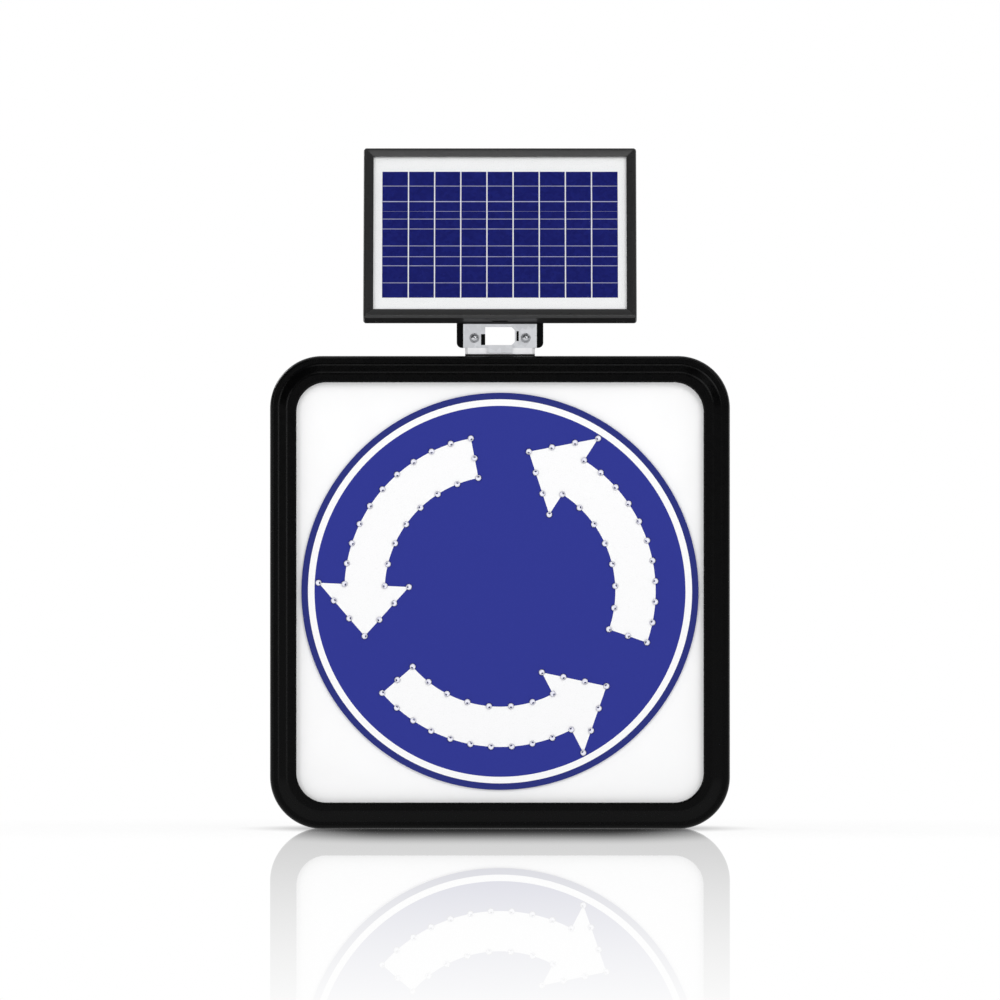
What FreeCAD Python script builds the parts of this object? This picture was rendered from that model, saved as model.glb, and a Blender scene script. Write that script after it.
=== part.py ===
import FreeCAD, Part
import math
import os

# A roundabout sign with a light of its own: a moulded case that holds a white face and a
# blue disc, three arrows edged with small lamps, and a solar panel on a neck above it.
# Millimetres, +Z up. The front faces -Y. The origin is the middle of the flat underside.

V = FreeCAD.Vector
X_AXIS = V(1, 0, 0)
Y_AXIS = V(0, 1, 0)
Z_AXIS = V(0, 0, 1)
same_place = 0.001
parallel_share = 0.9
hex_sides = 6

# Case
case_w = 600.0
case_h = 617.0
case_r = 68.0
case_depth = 100.0
front_shell_depth = 70.0
wall = 4.0
rim_w = 11.0
bevel_w = 11.0
band_w = 12.5
bevel_rise = 6.0
front_chamfer = 2.5
back_chamfer = 5.0
opening_r = 39.0
gasket_t = 2.0
gasket_inset = 0.5
gasket_corner_sides = 6

# White face behind the bezel
face_recess = 10.0
face_t = 3.0
face_lap = 14.0
face_corner = 20.0
face_hole_sides = 12

# Blue disc, its white ring and its arrows
disc_gap = 6.5
disc_t = 3.0
disc_rise = 1.5
disc_lap = 15.0
disc_sides = 72
ring_margin = 8.5
ring_w = 8.5
ring_sides = 48
film_t = 0.3
arrow_count = 3
arrow_gap = 5.0
arrow_w = 52.5
barb_out = 34.0
barb_in = 31.5
tip_shift = 8.0
tail_angle = -19.2
base_angle = 57.3
tip_angle = 78.3

# Lamps: as many between two corners of an arrow as these numbers say
led_d = 8.0
led_gap = 0.2
led_dome_h = 4.0
led_sides = 6
tail_lamp_count = 1
outer_arc_lamp_count = 9
inner_arc_lamp_count = 6
head_side_lamp_count = 2
lamp_board_t = 1.6
lamp_board_margin = 7.0
lamp_board_gap = 4.0
lamp_board_step_count = 5
spacer_r = 4.0
spacer_shares = (0.1, 0.9)

# Screws that close the case
case_screw_r = 2.0
case_screw_head_r = 4.5
case_screw_head_h = 3.0
case_screw_length = 30.0
case_screw_hole_r = 2.2
case_boss_r = 9.0
case_boss_h = 14.0
counterbore_r = 5.0
counterbore_depth = 6.0
case_screw_inset = 6.5
case_screw_end_x = 170.0

# Rails on the back and the plates inside that their bolts screw into
rail_spacing = 280.0
rail_crown = 50.0
rail_depth = 22.0
rail_flange = 18.0
rail_t = 2.5
rail_slot_w = 9.0
rail_slot_length = 30.0
rail_slot_spacing = 70.0
rail_bolt_spacing = 360.0
rail_end = 30.0
rail_plate_end = 20.0
rail_plate_inset = 1.0
rail_plate_t = 3.0

# Stiffening ribs outside the rear cover
rib_count = 7
rib_spacing = 64.0
rib_w = 6.0
rib_h = 3.0
rib_slope = 6.0
rib_gap = 7.0

# M6 bolts and their nuts
m6_r = 3.0
m6_hole_r = 3.3
m6_across_flats = 10.0
m6_head_h = 4.0
m6_nut_h = 5.0
m6_end = 3.0
bolt_sides = 6

# Solar panel, in its own upright frame before it leans back
panel_w = 357.0
panel_h = 258.0
panel_t = 17.0
panel_lean = 30.0
frame_face = 13.0
frame_wall = 2.0
frame_chamfer = 2.0
frame_seat = 9.0
frame_web = 1.5
frame_lip = 14.0
glass_t = 3.2
cell_t = 0.3
sheet_t = 0.5
glass_gap = 1.0
laminate_gap = 0.1
cell_columns = 9
cell_rows = 3
cell_margin_side = 24.5
cell_margin_bottom = 29.5
cell_margin_top = 37.0
cell_gap = 1.8
key_leg = 12.0
key_w = 6.0
drain_w = 4.0
drain_middle_length = 22.0
drain_side_length = 13.0
drain_side_inset = 22.0

# Junction box behind the panel
jbox_w = 62.0
jbox_h = 55.0
jbox_depth = 11.0
jbox_lid_t = 3.0
jbox_lid_lap = 1.5
jbox_chamfer = 4.0
jbox_gap = 3.0
jbox_top_gap = 53.0
jbox_gland_r = 4.0
jbox_gland_af = 9.0
jbox_gland_length = 12.0

# Neck: rubber pad, cast foot, black folded bracket and galvanised clamp plate
neck_y = -32.0
pad_t = 2.5
foot_w = 91.0
foot_depth = 43.0
foot_t = 8.0
foot_chamfer = 4.0
lug_w = 22.0
lug_t = 10.0
lug_chamfer = 6.0
neck_h = 31.8
bracket_w = 113.0
bracket_t = 3.0
bracket_corner_r = 7.0
bracket_cut_z = 40.0
bracket_cut_margin = 10.0
bracket_end_gap = 2.0
clamp_w = 96.0
clamp_t = 3.0
clamp_top_gap = 0.5
window_w = 38.5
window_h = 23.5
window_z = 3.8
window_chamfer = 4.0
notch_w = 5.5
notch_h = 14.3
slit_w = 3.0
slit_h = 13.0
slit_x = 21.5
slit_z = 15.5
tongue_w = 32.6
tongue_drop = 6.5
tongue_gap = 0.5
neck_bolt_x = 33.5
neck_bolt_z = 12.9
foot_bolt_x = 34.0
foot_bolt_gap = 10.0
backing_w = 100.0
backing_depth = 36.0
backing_t = 3.0
arm_screw_inset = 7.5
arm_screw_r = 2.1
arm_screw_head_r = 4.5
arm_screw_head_h = 2.5
arm_screw_length = 8.5

# Battery, its shelf and its strap
battery_w = 151.0
battery_depth = 65.0
battery_h = 94.0
battery_z = 24.0
shelf_lap = 8.5
shelf_t = 4.0
gusset_inset = 15.0
terminal_w = 6.0
terminal_t = 0.8
terminal_h = 6.5
terminal_x = 55.0
terminal_inset = 12.0
strap_w = 20.0
strap_t = 1.5
strap_foot = 22.0
strap_pad_h = 8.0
strap_pad_r = 8.0
strap_screw_r = 2.0
strap_screw_head_r = 4.0
strap_screw_head_h = 2.0
strap_screw_length = 8.0

# Charge controller
rail_clearance = 10.0
controller_w = 100.0
controller_h = 62.0
controller_depth = 26.0
controller_pad_t = 1.0
terminals_w = 64.0
terminals_h = 14.0
terminals_depth = 16.0

# Cable gland through the rear cover
gland_inset = 100.0
gland_z = 60.0
gland_r = 9.0
gland_length = 14.0
gland_hex_af = 22.0
gland_hex_h = 6.0
gland_thread_r = 8.0
gland_bore_r = 4.0
gland_hole_gap = 0.2
gland_nut_h = 5.0
gland_sides = 12

# Places that follow from the sizes above
front_y = -case_depth / 2
back_y = case_depth / 2
rim_y = front_y + bevel_rise
joint_y = front_y + front_shell_depth
cover_y = joint_y + gasket_t
inner_back_y = back_y - wall
seat_y = back_y - counterbore_depth
case_mid_z = case_h / 2
bezel_w = rim_w + bevel_w + band_w
opening_w = case_w - 2 * bezel_w
opening_h = case_h - 2 * bezel_w
cavity_w = case_w - 2 * wall
cavity_h = case_h - 2 * wall
cavity_r = case_r - wall
face_y = front_y + face_recess
disc_z = case_mid_z + disc_rise
disc_r = min(opening_w, opening_h) / 2 - disc_gap
ring_r_out = disc_r - ring_margin
ring_r_in = ring_r_out - ring_w
head_r_out = ring_r_in - arrow_gap
arrow_r_out = head_r_out - barb_out
arrow_r_in = arrow_r_out - arrow_w
head_r_in = arrow_r_in - barb_in
tip_r = (head_r_in + head_r_out) / 2 + tip_shift
disc_y = face_y - disc_t
film_y = disc_y - film_t
lamp_board_y = face_y + lamp_board_gap
foot_z = case_h + pad_t
foot_top_z = foot_z + foot_t
bend_z = foot_top_z + neck_h
lean = math.radians(panel_lean)
panel_y = neck_y - panel_t * math.cos(lean)
panel_z = bend_z + panel_t * math.sin(lean)
lug_y = neck_y + bracket_t
neck_nut_y = lug_y + lug_t
foot_front_y = neck_y - clamp_t
foot_back_y = foot_front_y + foot_depth
foot_bolt_y = neck_nut_y + m6_nut_h + foot_bolt_gap
laminate_y = frame_wall
cell_y = laminate_y + glass_t
sheet_y = cell_y + cell_t
sheet_back_y = sheet_y + sheet_t
web_y = sheet_back_y + laminate_gap
key_y = web_y + frame_web
lip_y = panel_t - frame_web
jbox_z = panel_h - jbox_h - jbox_top_gap
bracket_cut_half = jbox_w / 2 + jbox_lid_lap + jbox_gap
arm_mid_x = (bracket_w / 2 + bracket_cut_half) / 2
rail_h = rail_crown + 2 * rail_flange
rail_length = rail_bolt_spacing + 2 * rail_end
rail_plate_h = rail_h - 2 * rail_plate_inset
rail_low_z = battery_z + battery_h + rail_clearance + rail_plate_h / 2
rail_mid_z = rail_low_z + rail_spacing / 2
rail_z = {"lower": rail_low_z, "upper": rail_low_z + rail_spacing}
rail_bolt_z = (rail_crown + rail_flange) / 2
controller_back_y = inner_back_y - controller_pad_t
strap_foot_y = inner_back_y - strap_pad_h
strap_screw_x = battery_w / 2 + strap_t + strap_foot / 2
strap_mid_z = battery_z + battery_h / 2
battery_front_y = inner_back_y - battery_depth
gland_x = case_w / 2 - gland_inset


def save(name, shape):
    shape.exportStep("parts/" + name + ".step")


def slab(x0, x1, y0, y1, z0, z1):
    """A block between two corners."""
    return Part.makeBox(x1 - x0, y1 - y0, z1 - z0, V(x0, y0, z0))


def edges_along(shape, axis):
    """The straight edges of a block that run along an axis."""
    return [e for e in shape.Edges if abs(e.tangentAt(e.FirstParameter).dot(axis)) > parallel_share]


def edges_at(shape, y):
    """The edges of a shape that lie in the plane at y."""
    return [e for e in shape.Edges if all(abs(v.Y - y) < same_place for v in e.Vertexes)]


def outline_at(shape, y):
    """The outer outline of a shape's flat face at y."""
    flat = [f for f in shape.Faces if all(abs(v.Y - y) < same_place for v in f.Vertexes)]
    return flat[0].OuterWire


def plate(w, h, r, y0, y1):
    """An upright plate with rounded corners about the middle of the case."""
    block = slab(-w / 2, w / 2, y0, y1, case_mid_z - h / 2, case_mid_z + h / 2)
    return block.makeFillet(r, edges_along(block, Y_AXIS))


def prism(sides, r, base, axis, length):
    """A regular prism from base along axis."""
    ring = []
    for k in range(sides + 1):
        angle = math.pi * (2 * k + 1) / sides
        ring.append(V(r * math.cos(angle), r * math.sin(angle), 0))
    body = Part.Face(Part.makePolygon(ring)).extrude(V(0, 0, length))
    body.Placement = FreeCAD.Placement(base, FreeCAD.Rotation(Z_AXIS, axis))
    return body


def hexagon(across_flats, base, axis, length):
    return prism(hex_sides, across_flats / math.sqrt(3), base, axis, length)


def shank(r, base, axis, length):
    """A small round bar or its hole: it repeats often, so it has few faces."""
    return prism(bolt_sides, r, base, axis, length)


def screw(head, r, seat, axis, length):
    """A head with a shank that runs from its seat along axis."""
    return head.fuse(shank(r, seat, axis, length))


def m6_bolt(seat, axis, length):
    head = hexagon(m6_across_flats, seat, V(axis).multiply(-1), m6_head_h)
    return screw(head, m6_r, seat, axis, length)


def m6_nut(seat, axis):
    return hexagon(m6_across_flats, seat, axis, m6_nut_h).cut(shank(m6_hole_r, seat, axis, m6_nut_h))


def extrude_yz(points, x0, x1):
    """A profile of (y, z) points, extruded along X."""
    ring = [V(x0, y, z) for y, z in points + points[:1]]
    return Part.Face(Part.makePolygon(ring)).extrude(V(x1 - x0, 0, 0))


def case_screw_places():
    """Where screws join the cover to the front shell: at mid-height, then top and bottom."""
    side_x = cavity_w / 2 - case_screw_inset
    end_z = cavity_h / 2 - case_screw_inset
    places = []
    for side in (-1, 1):
        places.append((side * side_x, case_mid_z))
        for end in (-1, 1):
            places.append((side * case_screw_end_x, case_mid_z + end * end_z))
    return places


def rail_bolt_places(mid_z):
    xs = (-rail_bolt_spacing / 2, rail_bolt_spacing / 2)
    return [(x, mid_z + z) for x in xs for z in (-rail_bolt_z, rail_bolt_z)]


def foot_bolt_places(z):
    return [V(x, foot_bolt_y, z) for x in (-foot_bolt_x, foot_bolt_x)]


def front_shell():
    """The moulded front: rim, sloped bevel and inner band around the opening."""
    body = plate(case_w, case_h, case_r, rim_y, joint_y)
    body = body.makeChamfer(front_chamfer, edges_at(body, rim_y))
    low = plate(case_w - 2 * rim_w, case_h - 2 * rim_w, case_r - rim_w, rim_y, joint_y)
    inset = rim_w + bevel_w
    high = plate(case_w - 2 * inset, case_h - 2 * inset, case_r - inset, front_y, joint_y)
    body = body.fuse(Part.makeLoft([outline_at(low, rim_y), outline_at(high, front_y)], True, True))
    body = body.cut(plate(cavity_w, cavity_h, cavity_r, face_y, joint_y))
    body = body.cut(plate(opening_w, opening_h, opening_r, front_y, face_y))
    bosses = []
    pilots = [shank(m6_hole_r, p, Z_AXIS, wall) for p in foot_bolt_places(case_h - wall)]
    for x, z in case_screw_places():
        base = V(x, joint_y - case_boss_h, z)
        bosses.append(shank(case_boss_r, base, Y_AXIS, case_boss_h))
        pilots.append(shank(case_screw_r, base, Y_AXIS, case_boss_h))
    return body.fuse(bosses).cut(pilots).removeSplitter()


def battery_shelf():
    """A ledge inside the cover with two gussets under it, and a pad for each strap foot."""
    half = battery_w / 2 + shelf_lap
    shelf_z = battery_z - shelf_t
    pieces = [slab(-half, half, battery_front_y, inner_back_y, shelf_z, battery_z)]
    for sx in (-1, 1):
        x = sx * (battery_w / 2 - gusset_inset)
        pieces.append(slab(x - wall / 2, x + wall / 2, cover_y, inner_back_y, wall, shelf_z))
        base = V(sx * strap_screw_x, strap_foot_y, strap_mid_z)
        pieces.append(shank(strap_pad_r, base, Y_AXIS, strap_pad_h))
    return pieces


def cover_ribs():
    """Ribs with sloped ends on the back, between the two rails."""
    half = (rail_spacing - rail_h) / 2 - rib_gap
    low, high = rail_mid_z - half, rail_mid_z + half
    profile = [(back_y, low), (back_y + rib_h, low + rib_slope), (back_y + rib_h, high - rib_slope),
               (back_y, high)]
    ribs = []
    for k in range(rib_count):
        x = (k - (rib_count - 1) / 2) * rib_spacing
        ribs.append(extrude_yz(profile, x - rib_w / 2, x + rib_w / 2))
    return ribs


def rear_cover():
    """The moulded tray that closes the back, with its bosses, ribs and battery shelf."""
    body = plate(case_w, case_h, case_r, cover_y, back_y)
    body = body.makeChamfer(back_chamfer, edges_at(body, back_y))
    body = body.cut(plate(cavity_w, cavity_h, cavity_r, cover_y, inner_back_y))
    added = battery_shelf() + cover_ribs()
    holes = []
    for x, z in case_screw_places():
        added.append(shank(case_boss_r, V(x, cover_y, z), Y_AXIS, inner_back_y - cover_y))
        holes.append(shank(case_screw_hole_r, V(x, cover_y, z), Y_AXIS, seat_y - cover_y))
        holes.append(shank(counterbore_r, V(x, seat_y, z), Y_AXIS, counterbore_depth))
    for mid_z in rail_z.values():
        for x, z in rail_bolt_places(mid_z):
            holes.append(shank(m6_hole_r, V(x, inner_back_y, z), Y_AXIS, wall))
    for sx in (-1, 1):
        base = V(sx * strap_screw_x, strap_foot_y, strap_mid_z)
        holes.append(shank(strap_screw_r, base, Y_AXIS, strap_pad_h))
    gland_hole_r = gland_thread_r + gland_hole_gap
    holes.append(prism(gland_sides, gland_hole_r, V(gland_x, inner_back_y, gland_z), Y_AXIS, wall))
    return body.fuse(added).cut(holes).removeSplitter()


def corner_plate(w, h, r):
    """A plate as thick as the gasket, whose corners of radius r have a few straight sides."""
    ring = []
    for quarter, (sx, sz) in enumerate(((1, 1), (-1, 1), (-1, -1), (1, -1))):
        for k in range(gasket_corner_sides + 1):
            angle = math.pi / 2 * (quarter + k / gasket_corner_sides)
            ring.append(V(sx * (w / 2 - r) + r * math.cos(angle), joint_y,
                          case_mid_z + sz * (h / 2 - r) + r * math.sin(angle)))
    return Part.Face(Part.makePolygon(ring + ring[:1])).extrude(V(0, gasket_t, 0))


def cover_gasket():
    """A rubber ring between the ends of the two shells' walls."""
    inset = 2 * gasket_inset
    ring = corner_plate(case_w - inset, case_h - inset, case_r - gasket_inset)
    return ring.cut(corner_plate(cavity_w, cavity_h, cavity_r))


def case_screws():
    screws = []
    for x, z in case_screw_places():
        seat = V(x, seat_y, z)
        head = shank(case_screw_head_r, seat, Y_AXIS, case_screw_head_h)
        screws.append(screw(head, case_screw_r, seat, V(0, -1, 0), case_screw_length))
    return Part.makeCompound(screws)


def disc_point(r, angle, y):
    """A point at a radius and an angle from +X about the middle of the blue disc."""
    a = math.radians(angle)
    return V(r * math.cos(a), y, disc_z + r * math.sin(a))


def face_sheet():
    """The white face, with cut corners and a hole behind the disc for the lamps."""
    half_w, half_h = opening_w / 2 + face_lap, opening_h / 2 + face_lap
    sheet = slab(-half_w, half_w, face_y, face_y + face_t, case_mid_z - half_h, case_mid_z + half_h)
    sheet = sheet.makeChamfer(face_corner, edges_along(sheet, Y_AXIS))
    hole = prism(face_hole_sides, disc_r - disc_lap / 2, V(0, face_y, disc_z), Y_AXIS, face_t)
    return sheet.cut(hole)


def arrow_turns():
    return [360.0 * k / arrow_count for k in range(arrow_count)]


def arrow_corners(turn, y):
    """The corners of one arrow, from its tail along the outer side and back."""
    return {
        "tail_in": disc_point(arrow_r_in, turn + tail_angle, y),
        "tail_out": disc_point(arrow_r_out, turn + tail_angle, y),
        "notch_out": disc_point(arrow_r_out, turn + base_angle, y),
        "barb_out": disc_point(head_r_out, turn + base_angle, y),
        "tip": disc_point(tip_r, turn + tip_angle, y),
        "barb_in": disc_point(head_r_in, turn + base_angle, y),
        "notch_in": disc_point(arrow_r_in, turn + base_angle, y),
    }


def between(a, b, count):
    """Points spaced evenly on the straight line between a and b, without its ends."""
    return [a + (b - a) * ((k + 1) / (count + 1)) for k in range(count)]


def on_arc(r, turn, count, y):
    """Points spaced evenly on an arrow's arc, without its ends."""
    step = (base_angle - tail_angle) / (count + 1)
    return [disc_point(r, turn + tail_angle + step * (k + 1), y) for k in range(count)]


def lamp_places(turn, y):
    """An arrow's outline: its corners in order, with lamps spaced evenly between them."""
    c = arrow_corners(turn, y)
    places = [c["tail_in"]] + between(c["tail_in"], c["tail_out"], tail_lamp_count) + [c["tail_out"]]
    places += on_arc(arrow_r_out, turn, outer_arc_lamp_count, y)
    places += [c["notch_out"], c["barb_out"]]
    places += between(c["barb_out"], c["tip"], head_side_lamp_count) + [c["tip"]]
    places += between(c["tip"], c["barb_in"], head_side_lamp_count)
    places += [c["barb_in"], c["notch_in"]]
    return places + on_arc(arrow_r_in, turn, inner_arc_lamp_count, y)[::-1]


def lamp_hole(place, length):
    return prism(led_sides, led_d / 2 + led_gap, place, Y_AXIS, length)


def disc_plate():
    """The blue disc, drilled for every lamp."""
    body = prism(disc_sides, disc_r, V(0, disc_y, disc_z), Y_AXIS, disc_t)
    holes = []
    for turn in arrow_turns():
        holes += [lamp_hole(p, disc_t) for p in lamp_places(turn, disc_y)]
    return body.cut(holes)


def arrow_film(turn):
    """One white arrow of film, cut away around the lamps on its edge."""
    places = lamp_places(turn, film_y)
    film = Part.Face(Part.makePolygon(places + places[:1])).extrude(V(0, film_t, 0))
    return film.cut([lamp_hole(p, film_t) for p in places])


def ring_film():
    """The white ring near the disc's edge."""
    base = V(0, film_y, disc_z)
    return prism(ring_sides, ring_r_out, base, Y_AXIS, film_t).cut(
        prism(ring_sides, ring_r_in, base, Y_AXIS, film_t))


def lamp(place):
    """A clear lamp: a stem that stands on its board and a faceted dome."""
    stem = prism(led_sides, led_d / 2, place, V(0, -1, 0), lamp_board_y - film_y)
    tip = Part.Vertex(V(place.x, film_y - led_dome_h, place.z))
    dome = Part.makeLoft([outline_at(stem, film_y), tip], True, True)
    return stem.fuse(dome).removeSplitter()


def lamp_group(turn):
    return Part.makeCompound([lamp(p) for p in lamp_places(turn, lamp_board_y)])


def lamp_board(turn):
    """The circuit board that carries one arrow's lamps, a margin wider than the arrow."""
    margin = lamp_board_margin
    swing = math.degrees(margin / arrow_r_out)
    first = turn + tail_angle - swing
    last = turn + base_angle - swing
    step = (last - first) / lamp_board_step_count
    angles = [first + step * k for k in range(lamp_board_step_count + 1)]
    outer = [disc_point(arrow_r_out + margin, a, lamp_board_y) for a in angles]
    inner = [disc_point(arrow_r_in - margin, a, lamp_board_y) for a in reversed(angles)]
    head = [disc_point(head_r_out + margin, last, lamp_board_y),
            disc_point(head_r_out + margin, last + 2 * swing, lamp_board_y),
            disc_point(tip_r + margin, turn + tip_angle + swing, lamp_board_y),
            disc_point(tip_r - margin, turn + tip_angle + swing, lamp_board_y),
            disc_point(head_r_in - margin, last + 2 * swing, lamp_board_y),
            disc_point(head_r_in - margin, last, lamp_board_y)]
    ring = outer + head + inner + outer[:1]
    return Part.Face(Part.makePolygon(ring)).extrude(V(0, lamp_board_t, 0))


def board_spacers():
    """Hexagonal spacers that hold each board behind the disc."""
    middle_r = (arrow_r_in + arrow_r_out) / 2
    spacers = []
    for turn in arrow_turns():
        for share in spacer_shares:
            angle = turn + tail_angle + share * (base_angle - tail_angle)
            base = disc_point(middle_r, angle, face_y)
            spacers.append(prism(hex_sides, spacer_r, base, Y_AXIS, lamp_board_gap))
    return Part.makeCompound(spacers)


def lean_back(shape):
    """Move a piece from the panel's upright frame to its place on the neck."""
    shape = shape.copy()
    shape.rotate(V(0, 0, 0), X_AXIS, -panel_lean)
    shape.translate(V(0, panel_y, panel_z))
    return shape


def arm_screw_places(y):
    """The screws through the frame's back lips, in the panel's upright frame."""
    heights = (arm_screw_inset, panel_h - arm_screw_inset)
    return [V(x, y, z) for x in (-arm_mid_x, arm_mid_x) for z in heights]


def frame_rail(length, reach):
    """A frame rail with mitred ends: reach is from the panel's middle to its outer edge."""
    z0 = -reach
    points = [(0, z0), (0, z0 + frame_face), (frame_wall, z0 + frame_face), (frame_wall, z0 + frame_wall),
              (web_y, z0 + frame_wall), (web_y, z0 + frame_seat), (key_y, z0 + frame_seat),
              (key_y, z0 + frame_wall), (lip_y, z0 + frame_wall), (lip_y, z0 + frame_lip),
              (panel_t, z0 + frame_lip), (panel_t, z0)]
    bar = extrude_yz(points, -length / 2, length / 2)
    corner = [e for e in edges_at(bar, 0) if all(abs(v.Z - z0) < same_place for v in e.Vertexes)]
    bar = bar.makeChamfer(frame_chamfer, corner)
    end = length / 2 - frame_lip
    mitre = [V(-length / 2, 0, z0), V(length / 2, 0, z0), V(end, 0, z0 + frame_lip),
             V(-end, 0, z0 + frame_lip), V(-length / 2, 0, z0)]
    return bar.common(Part.Face(Part.makePolygon(mitre)).extrude(V(0, panel_t, 0)))


def drain_slots():
    """Slots through the outer wall of the lower rail, in the rail's own frame."""
    middle = (key_y + lip_y) / 2
    side_x = panel_w / 2 - drain_side_inset
    slots = []
    for x, length in ((-side_x, drain_side_length), (0, drain_middle_length), (side_x, drain_side_length)):
        slots.append(slab(x - length / 2, x + length / 2, middle - drain_w / 2, middle + drain_w / 2,
                          -panel_h / 2, -panel_h / 2 + frame_wall))
    return slots


def solar_frame():
    """The four mitred rails, each turned to its side of the panel."""
    across = frame_rail(panel_w, panel_h / 2)
    upright = frame_rail(panel_h, panel_w / 2)
    rails = {"bottom": (across.cut(drain_slots()), 0), "left": (upright, 90),
             "top": (across, 180), "right": (upright, -90)}
    holes = [shank(arm_screw_r, p, Y_AXIS, frame_web) for p in arm_screw_places(lip_y)]
    for side, (rail_body, turn) in rails.items():
        rail_body = rail_body.copy()
        rail_body.rotate(V(0, 0, 0), Y_AXIS, turn)
        rail_body.translate(V(0, 0, panel_h / 2))
        if side in ("bottom", "top"):
            rail_body = rail_body.cut(holes)
        save("solar_frame_" + side, lean_back(rail_body))


def corner_keys():
    """L-shaped keys inside the frame that hold its mitred corners together."""
    x1 = panel_w / 2 - frame_wall
    z1 = panel_h / 2 - frame_wall
    keys = []
    for turn_x in (-1, 1):
        for turn_z in (-1, 1):
            corner = [(0, 0), (key_leg, 0), (key_leg, key_w), (key_w, key_w), (key_w, key_leg), (0, key_leg)]
            ring = [V(turn_x * (x1 - a), key_y, panel_h / 2 + turn_z * (z1 - b)) for a, b in corner]
            face = Part.Face(Part.makePolygon(ring + ring[:1]))
            keys.append(face.extrude(V(0, lip_y - key_y, 0)))
    return lean_back(Part.makeCompound(keys))


def solar_sheet(y0, y1):
    edge = frame_wall + glass_gap
    return lean_back(slab(-panel_w / 2 + edge, panel_w / 2 - edge, y0, y1, edge, panel_h - edge))


def solar_cells():
    """Rows and columns of cells behind the glass, with white gaps between them."""
    pitch_x = (panel_w - 2 * cell_margin_side) / cell_columns
    pitch_z = (panel_h - cell_margin_bottom - cell_margin_top) / cell_rows
    cells = []
    for i in range(cell_columns):
        for j in range(cell_rows):
            x = cell_margin_side - panel_w / 2 + i * pitch_x
            z = cell_margin_bottom + j * pitch_z
            cells.append(slab(x + cell_gap / 2, x + pitch_x - cell_gap / 2, cell_y, sheet_y,
                              z + cell_gap / 2, z + pitch_z - cell_gap / 2))
    return lean_back(Part.makeCompound(cells))


def jbox_block(grow, y0, y1):
    """A block behind the panel with cut corners, wider than the junction box by grow."""
    half = jbox_w / 2 + grow
    block = slab(-half, half, y0, y1, jbox_z - grow, jbox_z + jbox_h + grow)
    return block.makeChamfer(jbox_chamfer, edges_along(block, Y_AXIS))


def junction_box():
    lid_y = sheet_back_y + jbox_depth
    save("junction_box", lean_back(jbox_block(0, sheet_back_y, lid_y)))
    save("junction_box_lid", lean_back(jbox_block(jbox_lid_lap, lid_y, lid_y + jbox_lid_t)))
    top = V(0, sheet_back_y + jbox_depth / 2, jbox_z)
    down = V(0, 0, -1)
    collar = hexagon(jbox_gland_af, top, down, jbox_gland_length / 2)
    gland_body = collar.fuse(prism(gland_sides, jbox_gland_r, top, down, jbox_gland_length))
    save("junction_box_gland", lean_back(gland_body))


def window_cut(y0, y1):
    """The neck's window, with its two right-hand corners cut off."""
    z0 = foot_top_z + window_z
    z1 = z0 + window_h
    x1 = window_w / 2
    c = window_chamfer
    ring = [V(-x1, y0, z0), V(x1 - c, y0, z0), V(x1, y0, z0 + c), V(x1, y0, z1 - c),
            V(x1 - c, y0, z1), V(-x1, y0, z1), V(-x1, y0, z0)]
    return Part.Face(Part.makePolygon(ring)).extrude(V(0, y1 - y0, 0))


def neck_bolt_places(y):
    return [V(x, y, foot_top_z + neck_bolt_z) for x in (-neck_bolt_x, neck_bolt_x)]


def panel_bracket():
    """One black folded plate: upright at the neck, then leaning along the panel's back."""
    length = panel_h - bracket_end_gap
    end_y = neck_y + math.sin(lean) * length
    end_z = bend_z + math.cos(lean) * length
    fold = bracket_t * math.tan(lean / 2)
    profile = [(neck_y, foot_top_z), (neck_y, bend_z), (end_y, end_z),
               (end_y + math.cos(lean) * bracket_t, end_z - math.sin(lean) * bracket_t),
               (lug_y, bend_z - fold), (lug_y, foot_top_z)]
    body = extrude_yz(profile, -bracket_w / 2, bracket_w / 2)
    lower = [e for e in edges_along(body, Y_AXIS) if all(abs(v.Z - foot_top_z) < same_place for v in e.Vertexes)]
    body = body.makeFillet(bracket_corner_r, lower)
    cut_top = jbox_z + jbox_h + bracket_cut_margin
    cuts = [lean_back(slab(-bracket_cut_half, bracket_cut_half, panel_t, panel_t + bracket_t,
                           bracket_cut_z, cut_top)), window_cut(neck_y, lug_y)]
    cuts += [shank(m6_hole_r, p, Y_AXIS, bracket_t) for p in neck_bolt_places(neck_y)]
    cuts += [lean_back(shank(arm_screw_r, p, Y_AXIS, bracket_t)) for p in arm_screw_places(panel_t)]
    return body.cut(cuts)


def arm_screws():
    seat_y = panel_t + bracket_t
    forward = V(0, -1, 0)
    screws = []
    for p in arm_screw_places(seat_y):
        head = shank(arm_screw_head_r, p, Y_AXIS, arm_screw_head_h)
        screws.append(screw(head, arm_screw_r, p, forward, arm_screw_length))
    return lean_back(Part.makeCompound(screws))


def clamp_plate():
    """The galvanised plate in front of the bracket, with its window and folded tongue."""
    body = slab(-clamp_w / 2, clamp_w / 2, foot_front_y, neck_y, foot_top_z, bend_z - clamp_top_gap)
    sill_z = foot_top_z + window_z
    left = -window_w / 2
    slit_low = foot_top_z + slit_z - slit_h / 2
    cuts = [window_cut(foot_front_y, neck_y),
            slab(left - notch_w, left, foot_front_y, neck_y, sill_z, sill_z + notch_h),
            slab(slit_x, slit_x + slit_w, foot_front_y, neck_y, slit_low, slit_low + slit_h)]
    cuts += [shank(m6_hole_r, p, Y_AXIS, clamp_t) for p in neck_bolt_places(foot_front_y)]
    inner = foot_front_y - tongue_gap
    outer = inner - clamp_t
    low = foot_top_z - tongue_drop
    tongue = [(foot_front_y, sill_z), (outer, sill_z), (outer, low), (inner, low),
              (inner, foot_top_z + tongue_gap), (foot_front_y, foot_top_z + tongue_gap)]
    return body.cut(cuts).fuse(extrude_yz(tongue, -tongue_w / 2, tongue_w / 2)).removeSplitter()


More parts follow.
